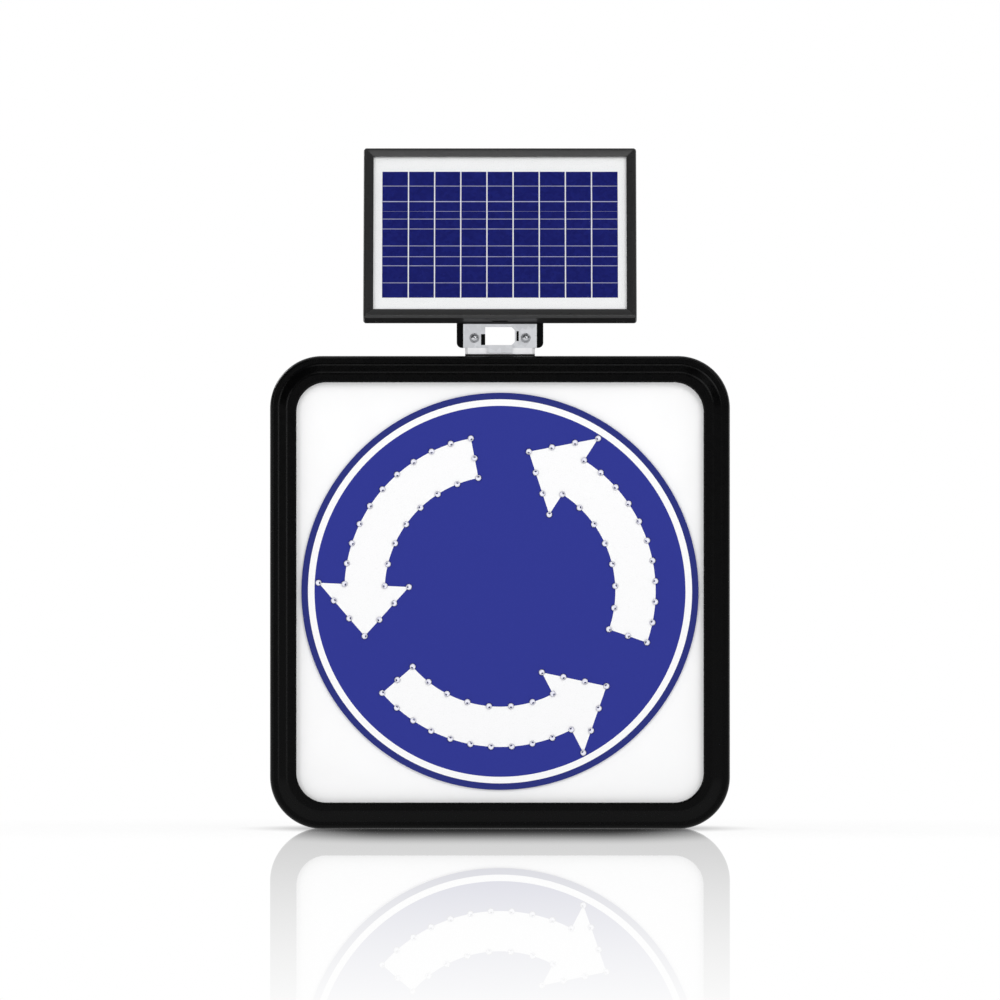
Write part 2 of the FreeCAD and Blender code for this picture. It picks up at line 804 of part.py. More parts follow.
def neck_foot():
    """The cast foot: a flat base and two lugs with cut corners that carry the bracket."""
    base = slab(-foot_w / 2, foot_w / 2, foot_front_y, foot_back_y, foot_z, foot_top_z)
    body = base.makeChamfer(foot_chamfer, edges_along(base, Z_AXIS))
    cuts = [shank(m6_hole_r, p, Z_AXIS, foot_t) for p in foot_bolt_places(foot_z)]
    for p in neck_bolt_places(lug_y):
        lug = slab(p.x - lug_w / 2, p.x + lug_w / 2, lug_y, neck_nut_y, foot_top_z, p.z + lug_w / 2)
        upper = [e for e in edges_along(lug, Y_AXIS) if all(v.Z > p.z for v in e.Vertexes)]
        body = body.fuse(lug.makeChamfer(lug_chamfer, upper))
        cuts.append(shank(m6_hole_r, p, Y_AXIS, lug_t))
    return body.cut(cuts).removeSplitter()


def neck_pad():
    pad = slab(-foot_w / 2, foot_w / 2, foot_front_y, foot_back_y, case_h, foot_z)
    return pad.cut([shank(m6_hole_r, p, Z_AXIS, pad_t) for p in foot_bolt_places(case_h)])


def neck_backing():
    """The steel plate inside the case that the foot's bolts screw into."""
    z1 = case_h - wall
    y0 = foot_bolt_y - backing_depth / 2
    body = slab(-backing_w / 2, backing_w / 2, y0, y0 + backing_depth, z1 - backing_t, z1)
    return body.cut([shank(m6_r, p, Z_AXIS, backing_t) for p in foot_bolt_places(z1 - backing_t)])


def neck_fasteners():
    length = neck_nut_y - foot_front_y + m6_nut_h + m6_end
    bolts = [m6_bolt(p, Y_AXIS, length) for p in neck_bolt_places(foot_front_y)]
    save("neck_bolts", Part.makeCompound(bolts))
    save("neck_nuts", Part.makeCompound([m6_nut(p, Y_AXIS) for p in neck_bolt_places(neck_nut_y)]))
    length = foot_t + pad_t + wall + backing_t + m6_end
    bolts = [m6_bolt(p, V(0, 0, -1), length) for p in foot_bolt_places(foot_top_z)]
    save("foot_bolts", Part.makeCompound(bolts))


def rail(mid_z):
    """A folded hat-section rail with slots in its crown and holes in its flanges."""
    crown = rail_crown / 2
    edge = rail_h / 2
    y1 = back_y + rail_t
    y2 = back_y + rail_depth
    points = [(back_y, -edge), (y1, -edge), (y1, -crown), (y2, -crown), (y2, crown), (y1, crown),
              (y1, edge), (back_y, edge), (back_y, crown - rail_t), (y2 - rail_t, crown - rail_t),
              (y2 - rail_t, rail_t - crown), (back_y, rail_t - crown)]
    body = extrude_yz([(y, mid_z + z) for y, z in points], -rail_length / 2, rail_length / 2)
    cuts = []
    run = (rail_slot_length - rail_slot_w) / 2
    r = rail_slot_w / 2
    for x in (-rail_slot_spacing / 2, rail_slot_spacing / 2):
        cuts.append(slab(x - run, x + run, y2 - rail_t, y2, mid_z - r, mid_z + r))
        for end in (x - run, x + run):
            cuts.append(Part.makeCylinder(r, rail_t, V(end, y2 - rail_t, mid_z), Y_AXIS))
    for x, z in rail_bolt_places(mid_z):
        cuts.append(shank(m6_hole_r, V(x, back_y, z), Y_AXIS, rail_t))
    return body.cut(cuts).removeSplitter()


def rail_plate(mid_z):
    """The steel plate inside the cover that one rail's bolts screw into."""
    half = rail_bolt_spacing / 2 + rail_plate_end
    y0 = inner_back_y - rail_plate_t
    body = slab(-half, half, y0, inner_back_y, mid_z - rail_plate_h / 2, mid_z + rail_plate_h / 2)
    return body.cut([shank(m6_r, V(x, y0, z), Y_AXIS, rail_plate_t) for x, z in rail_bolt_places(mid_z)])


def rail_bolts():
    length = rail_t + wall + rail_plate_t + m6_end
    bolts = []
    for mid_z in rail_z.values():
        for x, z in rail_bolt_places(mid_z):
            bolts.append(m6_bolt(V(x, back_y + rail_t, z), V(0, -1, 0), length))
    return Part.makeCompound(bolts)


def battery():
    return slab(-battery_w / 2, battery_w / 2, battery_front_y, inner_back_y,
                battery_z, battery_z + battery_h)


def battery_terminals():
    z0 = battery_z + battery_h
    y0 = battery_front_y + terminal_inset
    tabs = []
    for x in (-terminal_x, terminal_x):
        tabs.append(slab(x - terminal_w / 2, x + terminal_w / 2, y0, y0 + terminal_t, z0, z0 + terminal_h))
    return Part.makeCompound(tabs)


def battery_strap():
    """A folded steel band around the battery, screwed to two pads of the cover."""
    x0 = battery_w / 2
    x1 = x0 + strap_t
    x2 = x1 + strap_foot
    upper_y = strap_foot_y - strap_t
    side = [(x0, battery_front_y), (x0, strap_foot_y), (x2, strap_foot_y), (x2, upper_y), (x1, upper_y),
            (x1, battery_front_y - strap_t)]
    points = side + [(-x, y) for x, y in reversed(side)]
    z0 = strap_mid_z - strap_w / 2
    ring = [V(x, y, z0) for x, y in points + points[:1]]
    band = Part.Face(Part.makePolygon(ring)).extrude(V(0, 0, strap_w))
    return band.cut([shank(strap_screw_r, p, Y_AXIS, strap_t) for p in strap_screw_places()])


def strap_screw_places():
    return [V(x, strap_foot_y - strap_t, strap_mid_z) for x in (-strap_screw_x, strap_screw_x)]


def strap_screws():
    screws = []
    for p in strap_screw_places():
        head = shank(strap_screw_head_r, p, V(0, -1, 0), strap_screw_head_h)
        screws.append(screw(head, strap_screw_r, p, Y_AXIS, strap_screw_length))
    return Part.makeCompound(screws)


def controller():
    """The charge controller on a foam pad, and its terminal block below it."""
    front = controller_back_y - controller_depth
    half = controller_w / 2
    z0 = rail_mid_z - controller_h / 2
    save("charge_controller", slab(-half, half, front, controller_back_y, z0, z0 + controller_h))
    save("controller_pad", slab(-half, half, controller_back_y, inner_back_y, z0, z0 + controller_h))
    save("controller_terminals", slab(-terminals_w / 2, terminals_w / 2, front, front + terminals_depth,
                                      z0 - terminals_h, z0))


def gland():
    """A cable gland: hex and domed body outside, thread through the wall, nut inside."""
    centre = V(gland_x, back_y, gland_z)
    nut_y = inner_back_y - gland_nut_h
    inner_y = nut_y - m6_end
    base = V(gland_x, inner_y, gland_z)
    body = hexagon(gland_hex_af, centre, Y_AXIS, gland_hex_h)
    body = body.fuse(prism(gland_sides, gland_r, centre, Y_AXIS, gland_hex_h + gland_length))
    body = body.fuse(prism(gland_sides, gland_thread_r, base, Y_AXIS, back_y - inner_y))
    body = body.cut(Part.makeCylinder(gland_bore_r, case_depth, base, Y_AXIS))
    save("cable_gland", body.removeSplitter())
    nut_base = V(gland_x, nut_y, gland_z)
    nut = hexagon(gland_hex_af, nut_base, Y_AXIS, gland_nut_h)
    hole = prism(gland_sides, gland_thread_r + gland_hole_gap, nut_base, Y_AXIS, gland_nut_h)
    save("gland_nut", nut.cut(hole))


def main():
    os.makedirs("parts", exist_ok=True)
    save("front_shell", front_shell())
    save("rear_cover", rear_cover())
    save("cover_gasket", cover_gasket())
    save("case_screws", case_screws())
    save("face_sheet", face_sheet())
    save("disc_plate", disc_plate())
    save("ring_film", ring_film())
    save("arrow_films", Part.makeCompound([arrow_film(turn) for turn in arrow_turns()]))
    for turn, side in zip(arrow_turns(), ("right", "left", "bottom")):
        save("lamps_" + side, lamp_group(turn))
        save("lamp_board_" + side, lamp_board(turn))
    save("board_spacers", board_spacers())
    solar_frame()
    save("frame_corner_keys", corner_keys())
    save("solar_glass", solar_sheet(laminate_y, cell_y))
    save("solar_cells", solar_cells())
    save("solar_backsheet", solar_sheet(sheet_y, sheet_back_y))
    junction_box()
    save("panel_bracket", panel_bracket())
    save("arm_screws", arm_screws())
    save("clamp_plate", clamp_plate())
    save("neck_foot", neck_foot())
    save("neck_pad", neck_pad())
    save("neck_backing_plate", neck_backing())
    neck_fasteners()
    for level, mid_z in rail_z.items():
        save("rail_" + level, rail(mid_z))
        save("rail_plate_" + level, rail_plate(mid_z))
    save("rail_bolts", rail_bolts())
    save("battery", battery())
    save("battery_terminals", battery_terminals())
    save("battery_strap", battery_strap())
    save("strap_screws", strap_screws())
    controller()
    gland()


main()
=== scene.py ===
"""Looks of the roundabout sign: smooth case, round lamps, printed films, cells and finishes.

Metres, in the frame's own axes: the sign faces -Y and stands on z = 0.
"""
import math

import bmesh
import bpy
from mathutils import Euler, Matrix, Vector

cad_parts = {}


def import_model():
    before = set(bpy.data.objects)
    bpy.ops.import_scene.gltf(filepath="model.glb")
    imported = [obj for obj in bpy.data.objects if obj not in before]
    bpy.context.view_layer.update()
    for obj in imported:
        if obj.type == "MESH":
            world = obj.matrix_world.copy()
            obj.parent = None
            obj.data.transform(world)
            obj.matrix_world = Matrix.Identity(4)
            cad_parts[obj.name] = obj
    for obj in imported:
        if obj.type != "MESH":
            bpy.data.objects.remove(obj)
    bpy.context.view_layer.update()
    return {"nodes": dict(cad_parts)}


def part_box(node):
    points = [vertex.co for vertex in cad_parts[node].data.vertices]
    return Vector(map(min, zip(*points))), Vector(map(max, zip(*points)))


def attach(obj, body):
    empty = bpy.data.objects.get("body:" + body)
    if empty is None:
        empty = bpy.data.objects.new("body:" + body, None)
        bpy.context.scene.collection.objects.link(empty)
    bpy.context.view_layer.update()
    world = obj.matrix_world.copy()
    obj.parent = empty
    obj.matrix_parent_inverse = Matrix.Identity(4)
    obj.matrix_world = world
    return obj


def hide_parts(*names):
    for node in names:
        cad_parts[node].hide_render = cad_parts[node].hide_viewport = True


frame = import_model()
nodes = frame["nodes"]

MM = 0.001
FORWARD = Vector((0, -1, 0))
BACKWARD = Vector((0, 1, 0))
UP = Vector((0, 0, 1))
SMOOTH_ANGLE = math.radians(32)
FLAT_SMOOTH_ANGLE = math.radians(40)
FLAT_EDGE_STEPS = 2
MERGE = 1e-6

# Rounding of a corner: the most it takes of an edge, and the points beside it that keep flats flat
ROUND_STEPS = 4
ROUND_SHARE = 0.45
HOLD = 0.2 * MM
HOLD_SHARE = 0.04

# Case: each profile point is an inset from the case's outline and a place in depth
case_lo, case_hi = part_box("front_shell")
CASE_W = case_hi.x - case_lo.x
CASE_H = case_hi.z - case_lo.z
CASE_MID_Z = (case_hi.z + case_lo.z) / 2
CASE_R = 68 * MM
WALL = 4 * MM
RIM_W = 11 * MM
BEVEL_W = 11 * MM
BAND_W = 12.5 * MM
BEVEL_RISE = 6 * MM
EDGE_W = 2.8 * MM
EDGE_RISE = 4.5 * MM
OPENING_R = 39 * MM
FRONT_Y = case_lo.y
JOINT_Y = case_hi.y
COVER_Y = JOINT_Y + 2 * MM
BACK_Y = 50 * MM
FACE_Y = FRONT_Y + 10 * MM
CASE_ROUNDING = 2.5 * MM
CORNER_STEPS = 28

# Disc, ring and arrows
disc_lo, disc_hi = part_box("disc_plate")
DISC_R = CASE_W / 2 - RIM_W - BEVEL_W - BAND_W - 6.5 * MM
DISC_Z = (disc_hi.z + disc_lo.z) / 2
DISC_EDGE = 0.3 * MM
DISC_STEPS = 256
RING_OUT = DISC_R - 8.5 * MM
RING_IN = RING_OUT - 8.5 * MM
HEAD_OUT = RING_IN - 5 * MM
ARROW_OUT = HEAD_OUT - 34 * MM
ARROW_IN = ARROW_OUT - 52.5 * MM
ARROW_MID_R = (ARROW_OUT + ARROW_IN) / 2
HEAD_IN = ARROW_IN - 31.5 * MM
TIP_R = (HEAD_IN + HEAD_OUT) / 2 + 8 * MM
TAIL_ANGLE = math.radians(-19.2)
BASE_ANGLE = math.radians(57.3)
TIP_ANGLE = math.radians(78.3)
ARROW_TURNS = [k * 2 * math.pi / 3 for k in range(3)]
ARC_STEPS = 40
FILM_T = 0.3 * MM
FILM_Y = disc_lo.y - FILM_T


def mm(*pairs):
    """Pairs of millimetres as metres."""
    return [(a * MM, b * MM) for a, b in pairs]


# Lamps
LENS_R = 4 * MM
LENS_FLANGE_R = 4.15 * MM
LENS_STEPS = 20
DOME_STEPS = 7
DISH_PROFILE = mm((0, 0), (3.5, 0), (3.9, 0.9), (3.7, 0.9), (2.8, 0.5), (0, 0.45))
DISH_DEPTH = 0.3 * MM
CHIP_PROFILE = mm((0, 0), (0.95, 0), (0.95, 0.6), (0.57, 0.9), (0, 0.9))
CHIP_STEPS = 10
CHIP_LIFT = 0.1 * MM
CHIP_SHIFT = 1.5 * MM
CHIP_STRETCH = 0.7
# Angles that turn each lamp's chip a little differently from its neighbour's
CHIP_TURN = 2.4
CHIP_SWAY = 0.5

# Solar panel, in its own upright frame: x across, y from its front, z up from its lower edge
PANEL_W = 357 * MM
PANEL_H = 258 * MM
PANEL_T = 17 * MM
PANEL_LEAN = math.radians(30)
PANEL_CORNER_R = 4 * MM
PANEL_LEAST_R = 0.3 * MM
PANEL_CORNER_STEPS = 8
panel_low, panel_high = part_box("solar_frame_left")
LEAN_SIN = math.sin(PANEL_LEAN)
LEAN_COS = math.cos(PANEL_LEAN)
PANEL_FOOT = Vector((0, panel_high.y - PANEL_T * LEAN_COS - PANEL_H * LEAN_SIN,
                     panel_low.z + PANEL_T * LEAN_SIN))
PANEL_PLACE = Matrix.Translation(PANEL_FOOT) @ Matrix.Rotation(-PANEL_LEAN, 4, "X")

FRAME_FACE = 13 * MM
FRAME_FACE_FLAT = 4 * MM
FRAME_FACE_DROP = 1.3 * MM
FRAME_WALL = 2 * MM
FRAME_SEAT = 9 * MM
FRAME_LIP = 14 * MM
FRAME_GLASS_Y = 6 * MM
FRAME_WEB = 1.5 * MM
FRAME_INNER_R = 0.2 * MM
MITRE_GAP = 0.12 * MM
SLOT_R = 2 * MM
SLOT_STEPS = 24
SLOT_CUT = 5 * MM
SLOT_SIDE_X = PANEL_W / 2 - 22 * MM
# Middle and length of each slot in the lower rail
SLOTS = [(-SLOT_SIDE_X, 13 * MM), (0, 22 * MM), (SLOT_SIDE_X, 13 * MM)]

CELL_COLUMNS = 9
CELL_FIELD_HALF = 154 * MM
CELL_FIELD_LOW = 32.5 * MM
CELL_FIELD_HIGH = 224 * MM
CELL_Y = 5.2 * MM
CELL_BACK_Y = 5.5 * MM
CELL_GAP = 1.55 * MM
BUSBAR_RISE = 0.04 * MM
# Height and width of each busbar and row gap: their spacing follows the lines in the photo
BUSBARS = mm((54.8, 0.85), (80.7, 0.9), (94.5, 0.85), (110.9, 0.85), (136.7, 0.85), (151.8, 0.85),
             (178.4, 1.25), (202.1, 0.85))
FINE_BUSBAR = 163.5 * MM
FINE_BUSBAR_W = 0.2 * MM
FINE_BUSBAR_WIDER_W = 0.5 * MM
WIDER_COLUMNS = (2, 4)

# Bolts and screws: profiles of (radius, distance) and rings of (across flats, distance)
M6_R = 3 * MM
M6_FLATS = 10 * MM
M6_HEAD = 4 * MM
M6_STEPS = 20
DOME_HEAD_STEPS = 40
PAN_HEAD_STEPS = 28
NUT_CHAMFER = 0.6 * MM
NUT_CORNER_FLATS = M6_FLATS * 0.92
SHANK_TIP = 0.5 * MM
SHANK_START = 0.2 * MM
HEX_WASHER_STEPS = 32
HEX_WASHER = mm((0, 0), (6.2, 0), (6.2, 0.7), (6.0, 0.9), (0, 0.9))
HEX_HEAD = mm((10, 0.9), (10, 3.4), (9, 4))
DOME_HEAD = mm((0, 3.9), (1.9, 3.6), (3.6, 2.8), (4.9, 1.5), (5.2, 0.9), (6.3, 0.9), (6.4, 0.7),
               (6.4, 0), (0, 0))
CASE_SCREW_R = 2 * MM
CASE_SCREW_HEAD_H = 3 * MM
CASE_SCREW_HEAD = mm((0, 1.4), (1.5, 1.6), (1.6, 2.9), (3.0, 2.8), (4.1, 2.1), (4.5, 1.1),
                     (4.5, 0), (0, 0))
ARM_SCREW_R = 2.1 * MM
ARM_SCREW_LENGTH = 8.5 * MM
ARM_SCREW_HEAD = mm((0, 0.9), (1.3, 1.0), (1.4, 2.4), (3.2, 2.2), (4.4, 1.2), (4.5, 0), (0, 0))
ARM_SCREW_X = 46 * MM
ARM_SCREW_INSET = 7.5 * MM
ARM_SCREW_Y = PANEL_T + 3 * MM
SCREW_STEPS = 16

# Glands
GLAND_STEPS = 48
GLAND_BODY = mm((4.0, 0), (7.4, 0), (7.4, 0.6), (8.0, 1.0), (8.0, 18.2), (8.3, 18.4), (8.3, 19.6),
                (9.0, 20.0), (9.0, 25.0), (8.8, 27.5), (8.2, 29.6), (7.2, 31.0), (6.0, 31.8),
                (5.2, 32.0), (5.0, 31.4), (4.0, 31.0), (4.0, 0))
GLAND_HEX = mm((21, 12), (22, 12.6), (22, 17.2), (20.6, 18))
GRIP_RIBS = 18
GRIP_R = 8.7 * MM
GRIP_START = 20.5 * MM
GRIP_RIB = mm((0, 0), (0.7, 0), (0.7, 5.0), (0, 5.6))
GRIP_RIB_STEPS = 8
SMALL_GLAND = mm((0, 0), (3.9, 0), (4.0, 9.0), (3.6, 11.0), (2.8, 12.0), (1.8, 12.0), (1.8, 9.0),
                 (0, 9.0))
SMALL_GLAND_HEX = mm((8.4, 0), (9, 0.5), (9, 5.5), (8.4, 6))
SMALL_GLAND_TOP = Vector((0, 11.5 * MM, 150 * MM))
SMALL_GLAND_STEPS = 28

# Rear cover, its bosses, battery shelf and ribs
INNER_Y = BACK_Y - WALL
COVER_ROUNDING = 2.2 * MM
COVER_CHAMFER = 5 * MM
COVER_FLAT = 10 * MM
SCREW_SEAT = mm((0, 0), (5, 0), (5, 8), (0, 8))
SCREW_SEAT_DEPTH = 6 * MM
SCREW_SEAT_STEPS = 40
BOSS_HOLE_R = 2.2 * MM
BOSS_R = 9 * MM
BOSS_STEPS = 32
COVER_BOSS_L = 20 * MM
FRONT_BOSS_L = 14 * MM
SHELF_X = 84 * MM
SHELF_Y = -19 * MM
SHELF_LOW = 20 * MM
SHELF_HIGH = 24 * MM
SHELF_WEB_X = 60.5 * MM
SHELF_WEB_HALF = 2 * MM
STRAP_BOSS_HOLE_R = 2 * MM
STRAP_BOSS_R = 8 * MM
STRAP_BOSS_L = 8 * MM
STRAP_BOSS_X = 88 * MM
STRAP_BOSS_Z = 71 * MM
STRAP_BOSS_STEPS = 28
RIBS_EACH_SIDE = 3
RIB_PITCH = 64 * MM
# Half of a rib's section as (half width, height), and its (place, rise) from end to end
RIB_HALF = mm((3.0, -1.0), (2.9, 2.2), (2.2, 3.0))
RIB_ENDS = mm((220, 0), (226, 3), (394, 3), (400, 0))

BOX_FACES = [(0, 1, 3, 2), (4, 6, 7, 5), (0, 4, 5, 1), (2, 3, 7, 6), (0, 2, 6, 4), (1, 5, 7, 3)]


def add_object(name, mesh):
    obj = bpy.data.objects.new(name, mesh)
    bpy.context.scene.collection.objects.link(obj)
    return obj


def shade(mesh, angle=SMOOTH_ANGLE):
    for polygon in mesh.polygons:
        polygon.use_smooth = True
    mesh.set_sharp_from_angle(angle=angle)


def mesh_object(name, verts, faces, material):
    """A smooth-shaded object from points and faces, with its normals turned outwards."""
    mesh = bpy.data.meshes.new(name)
    mesh.from_pydata([tuple(v) for v in verts], [], faces)
    bm = bmesh.new()
    bm.from_mesh(mesh)
    bmesh.ops.remove_doubles(bm, verts=bm.verts, dist=MERGE)
    bmesh.ops.recalc_face_normals(bm, faces=bm.faces)
    bm.to_mesh(mesh)
    bm.free()
    shade(mesh)
    mesh.materials.append(material)
    return add_object(name, mesh)


def place(obj, slot, *replaced):
    """Every added piece rides on the one body and names the nodes it stands for; its slot is not
    used.
    """
    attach(obj, "root")
    if replaced:
        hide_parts(*replaced)
    return obj


def curve_point(start, corner, end, t):
    """A point of the curve that rounds a corner, from start at t = 0 to end at t = 1."""
    return start * (1 - t) ** 2 + corner * 2 * t * (1 - t) + end * t ** 2


def soften(profile, radius, closed=True):
    """Round each corner of a profile, and hold its flats with a point close to each curve."""
    out = []
    count = len(profile)
    for k in range(count):
        corner = Vector(profile[k])
        if not closed and k in (0, count - 1):
            out.append(corner)
            continue
        before = Vector(profile[k - 1]) - corner
        after = Vector(profile[(k + 1) % count]) - corner
        reach = min(radius, before.length * ROUND_SHARE, after.length * ROUND_SHARE)
        start = corner + before.normalized() * reach
        end = corner + after.normalized() * reach
        out.append(start + before.normalized() * min(HOLD, before.length * HOLD_SHARE))
        out += [curve_point(start, corner, end, s / ROUND_STEPS) for s in range(ROUND_STEPS + 1)]
        out.append(end + after.normalized() * min(HOLD, after.length * HOLD_SHARE))
    return out


def rounded_loop(width, height, mid_z, inset, y, radius, steps):
    """A rounded rectangle at depth y, set in from an outline of the given width and height."""
    half_w = width / 2 - inset - radius
    half_h = height / 2 - inset - radius
    points = []
    for quarter, (sx, sz) in enumerate(((1, 1), (-1, 1), (-1, -1), (1, -1))):
        for s in range(steps + 1):
            a = math.pi / 2 * (quarter + s / steps)
            points.append(Vector((sx * half_w + radius * math.cos(a), y,
                                  mid_z + sz * half_h + radius * math.sin(a))))
    return points


def case_loop(inset, y, radius):
    return rounded_loop(CASE_W, CASE_H, CASE_MID_Z, inset, y, radius, CORNER_STEPS)


def panel_loop(inset, y, radius):
    radius = max(radius, PANEL_LEAST_R)
    return rounded_loop(PANEL_W, PANEL_H, PANEL_H / 2, inset, y, radius, PANEL_CORNER_STEPS)


def ring_faces(size, count, closed=False, caps=False):
    """Quads between count rings of size points, which close on themselves or end in caps."""
    faces = []
    for k in range(count if closed else count - 1):
        a = k * size
        b = (k + 1) % count * size
        for i in range(size):
            j = (i + 1) % size
            faces.append((a + i, a + j, b + j, b + i))
    if caps:
        faces.append(tuple(range(size)))
        faces.append(tuple(range((count - 1) * size, count * size)))
    return faces


def loft(name, loops, material, closed=False, caps=False):
    """An object through loops of equal length."""
    faces = ring_faces(len(loops[0]), len(loops), closed, caps)
    return mesh_object(name, [p for loop in loops for p in loop], faces, material)


def axes_about(axis):
    """An axis and two directions across it, all of length one."""
    axis = Vector(axis).normalized()
    side = axis.orthogonal().normalized()
    return axis, side, axis.cross(side)


def spin_profile(profile, axis_point, axis, steps):
    """Points and quads of a (radius, distance) profile turned about an axis."""
    axis, side, other = axes_about(axis)
    verts = []
    faces = []
    count = len(profile)
    for s in range(steps):
        a = 2 * math.pi * s / steps
        out = side * math.cos(a) + other * math.sin(a)
        verts += [Vector(axis_point) + out * r + axis * d for r, d in profile]
        for i in range(count - 1):
            p = s * count + i
            q = (s + 1) % steps * count + i
            faces.append((p, q, q + 1, p + 1))
    return verts, faces


class Solids:
    """Points and faces of many small solids that become one object."""

    def __init__(self):
        self.verts = []
        self.faces = []

    def add(self, verts, faces):
        start = len(self.verts)
        self.verts += [Vector(v) for v in verts]
        self.faces += [tuple(start + i for i in face) for face in faces]
        return self

    def spin(self, profile, base, axis, steps):
        """A (radius, distance) profile turned about an axis through base."""
        return self.add(*spin_profile(profile, base, axis, steps))

    def hexagons(self, rings, base, axis):
        """A six-sided solid through (across flats, distance) rings along an axis."""
        axis, side, other = axes_about(axis)
        turns = [math.pi / 3 * k for k in range(6)]
        corners = [side * math.cos(a) + other * math.sin(a) for a in turns]
        verts = [Vector(base) + axis * d + corner * flats / math.sqrt(3)
                 for flats, d in rings for corner in corners]
        return self.add(verts, ring_faces(6, len(rings), caps=True))

    def box(self, low, high):
        verts = [(x, y, z) for x in (low[0], high[0]) for y in (low[1], high[1])
                 for z in (low[2], high[2])]
        return self.add(verts, BOX_FACES)

    def build(self, name, material, matrix=None):
        if matrix:
            self.verts = [matrix @ v for v in self.verts]
        return mesh_object(name, self.verts, self.faces, material)


def islands(node):
    """Lowest and highest corner of each separate solid of a CAD node."""
    bm = bmesh.new()
    bm.from_mesh(nodes[node].data)
    bmesh.ops.remove_doubles(bm, verts=bm.verts, dist=MERGE)
    left = set(bm.verts)
    boxes = []
    while left:
        stack = [left.pop()]
        group = list(stack)
        while stack:
            vert = stack.pop()
            for edge in vert.link_edges:
                other = edge.other_vert(vert)
                if other in left:
                    left.remove(other)
                    stack.append(other)
                    group.append(other)
        low = Vector([min(v.co[i] for v in group) for i in range(3)])
        high = Vector([max(v.co[i] for v in group) for i in range(3)])
        boxes.append((low, high))
    bm.free()
    return sorted(boxes, key=lambda b: tuple(round(c, 5) for c in b[0]))


def middle(box, y=None, z=None):
    """The middle of a box, or the point beside it with the y or z that is given."""
    point = (box[0] + box[1]) / 2
    if y is not None:
        point.y = y
    if z is not None:
        point.z = z
    return point


# Materials

NOISE_DETAIL = 3.0
BEVEL_SAMPLES = 6


class Tree:
    """Short ways to add, set and link nodes."""

    def __init__(self, tree):
        self.tree = tree

    def add(self, kind, inputs=None, **settings):
        """A new node with its settings, and its inputs by name or number as values or links."""
        node = self.tree.nodes.new(kind)
        for key, value in settings.items():
            setattr(node, key, value)
        self.feed(node, inputs or {})
        return node

    def feed(self, node, inputs):
        for key, value in inputs.items():
            if isinstance(value, bpy.types.NodeSocket):
                self.tree.links.new(value, node.inputs[key])
            else:
                node.inputs[key].default_value = value

    def spread(self, source, low, high, start=0.3, stop=0.7, kind="LINEAR"):
        """A value from the range start to stop, mapped to the range low to high."""
        inputs = {"Value": source, "From Min": start, "From Max": stop,
                  "To Min": low, "To Max": high}
        return self.add("ShaderNodeMapRange", inputs, interpolation_type=kind).outputs["Result"]

    def calc(self, operation, *values):
        """One step of arithmetic on sockets or numbers."""
        node = self.add("ShaderNodeMath", dict(enumerate(values)), operation=operation)
        return node.outputs["Value"]

    def pick(self, flag, value, level):
        """The level where the flag is set, and otherwise the value."""
        node = self.add("ShaderNodeMix", {"Factor": flag, "A": value, "B": level})
        return node.outputs["Result"]

    def blend(self, factor, first, second):
        """A shader between two others."""
        node = self.add("ShaderNodeMixShader", {0: factor, 1: first, 2: second})
        return node.outputs["Shader"]


class Nodes(Tree):
    """The nodes of a new material, with its principled shader."""

    def __init__(self, name):
        self.material = bpy.data.materials.new(name)
        self.material.use_nodes = True
        super().__init__(self.material.node_tree)
        self.shader = self.tree.nodes["Principled BSDF"]
        self.output = self.tree.nodes["Material Output"]
        self.coords = self.add("ShaderNodeTexCoord").outputs["Object"]

    def noise(self, scale, stretch=None):
        vector = self.coords
        if stretch:
            mapping = self.add("ShaderNodeMapping", {"Vector": vector, "Scale": stretch})
            vector = mapping.outputs["Vector"]
        inputs = {"Vector": vector, "Scale": scale, "Detail": NOISE_DETAIL}
        return self.add("ShaderNodeTexNoise", inputs).outputs["Fac"]

    def mix(self, factor, dark, light):
        """A colour between two others, each three numbers or a socket."""
        node = self.add("ShaderNodeMix", {"Factor": factor}, data_type="RGBA")
        for key, value in (("A", dark), ("B", light)):
            socket = [s for s in node.inputs if s.name == key and s.type == "RGBA"][0]
            if isinstance(value, bpy.types.NodeSocket):
                self.tree.links.new(value, socket)
            else:
                socket.default_value = (*value, 1)
        return [s for s in node.outputs if s.type == "RGBA"][0]

    def bump(self, height, depth, edge=0.0):
        """Relief from a texture, over edges that are rounded in the shading."""
        node = self.add("ShaderNodeBump", {"Height": height, "Distance": depth, "Strength": 1.0})
        if edge:
            bevel = self.add("ShaderNodeBevel", {"Radius": edge}, samples=BEVEL_SAMPLES)
            self.feed(node, {"Normal": bevel.outputs["Normal"]})
        self.feed(self.shader, {"Normal": node.outputs["Normal"]})


# Share by which roughness varies about its mean, and how much finer it varies than colour
ROUGH_SWING = 0.15
ROUGH_FINER = 7
# Roughness of glass and resin, and the pattern of the sign film
CLEAR_SWING = 0.2
CLEAR_SCALE = 40.0
FILM_CELL_SCALE = 420.0
FILM_CELL_EDGE = 0.08
FILM_CELL_SHADE = 0.95
FILM_SPECULAR = 0.1
FILM_WAVE_SCALE = 60.0
FILM_WAVE_DEPTH = 0.02 * MM


def finish(name, color, rough, metal=0.0, tint=0.06, tint_scale=18.0, grain=0.02 * MM,
           grain_scale=2500.0, specular=0.5, edge=0.0, stretch=None):
    """A plain finish: slow colour change, uneven gloss and a fine grain."""
    n = Nodes(name)
    dark = [c * (1 - tint) for c in color]
    light = [min(c * (1 + tint), 1.0) for c in color]
    uneven = n.noise(tint_scale * ROUGH_FINER, stretch)
    n.feed(n.shader, {
        "Base Color": n.mix(n.spread(n.noise(tint_scale), 0, 1), dark, light),
        "Roughness": n.spread(uneven, rough * (1 - ROUGH_SWING),
                              min(rough * (1 + ROUGH_SWING), 1.0)),
        "Metallic": metal,
        "Specular IOR Level": specular,
    })
    n.bump(n.noise(grain_scale, stretch), grain, edge)
    return n.material


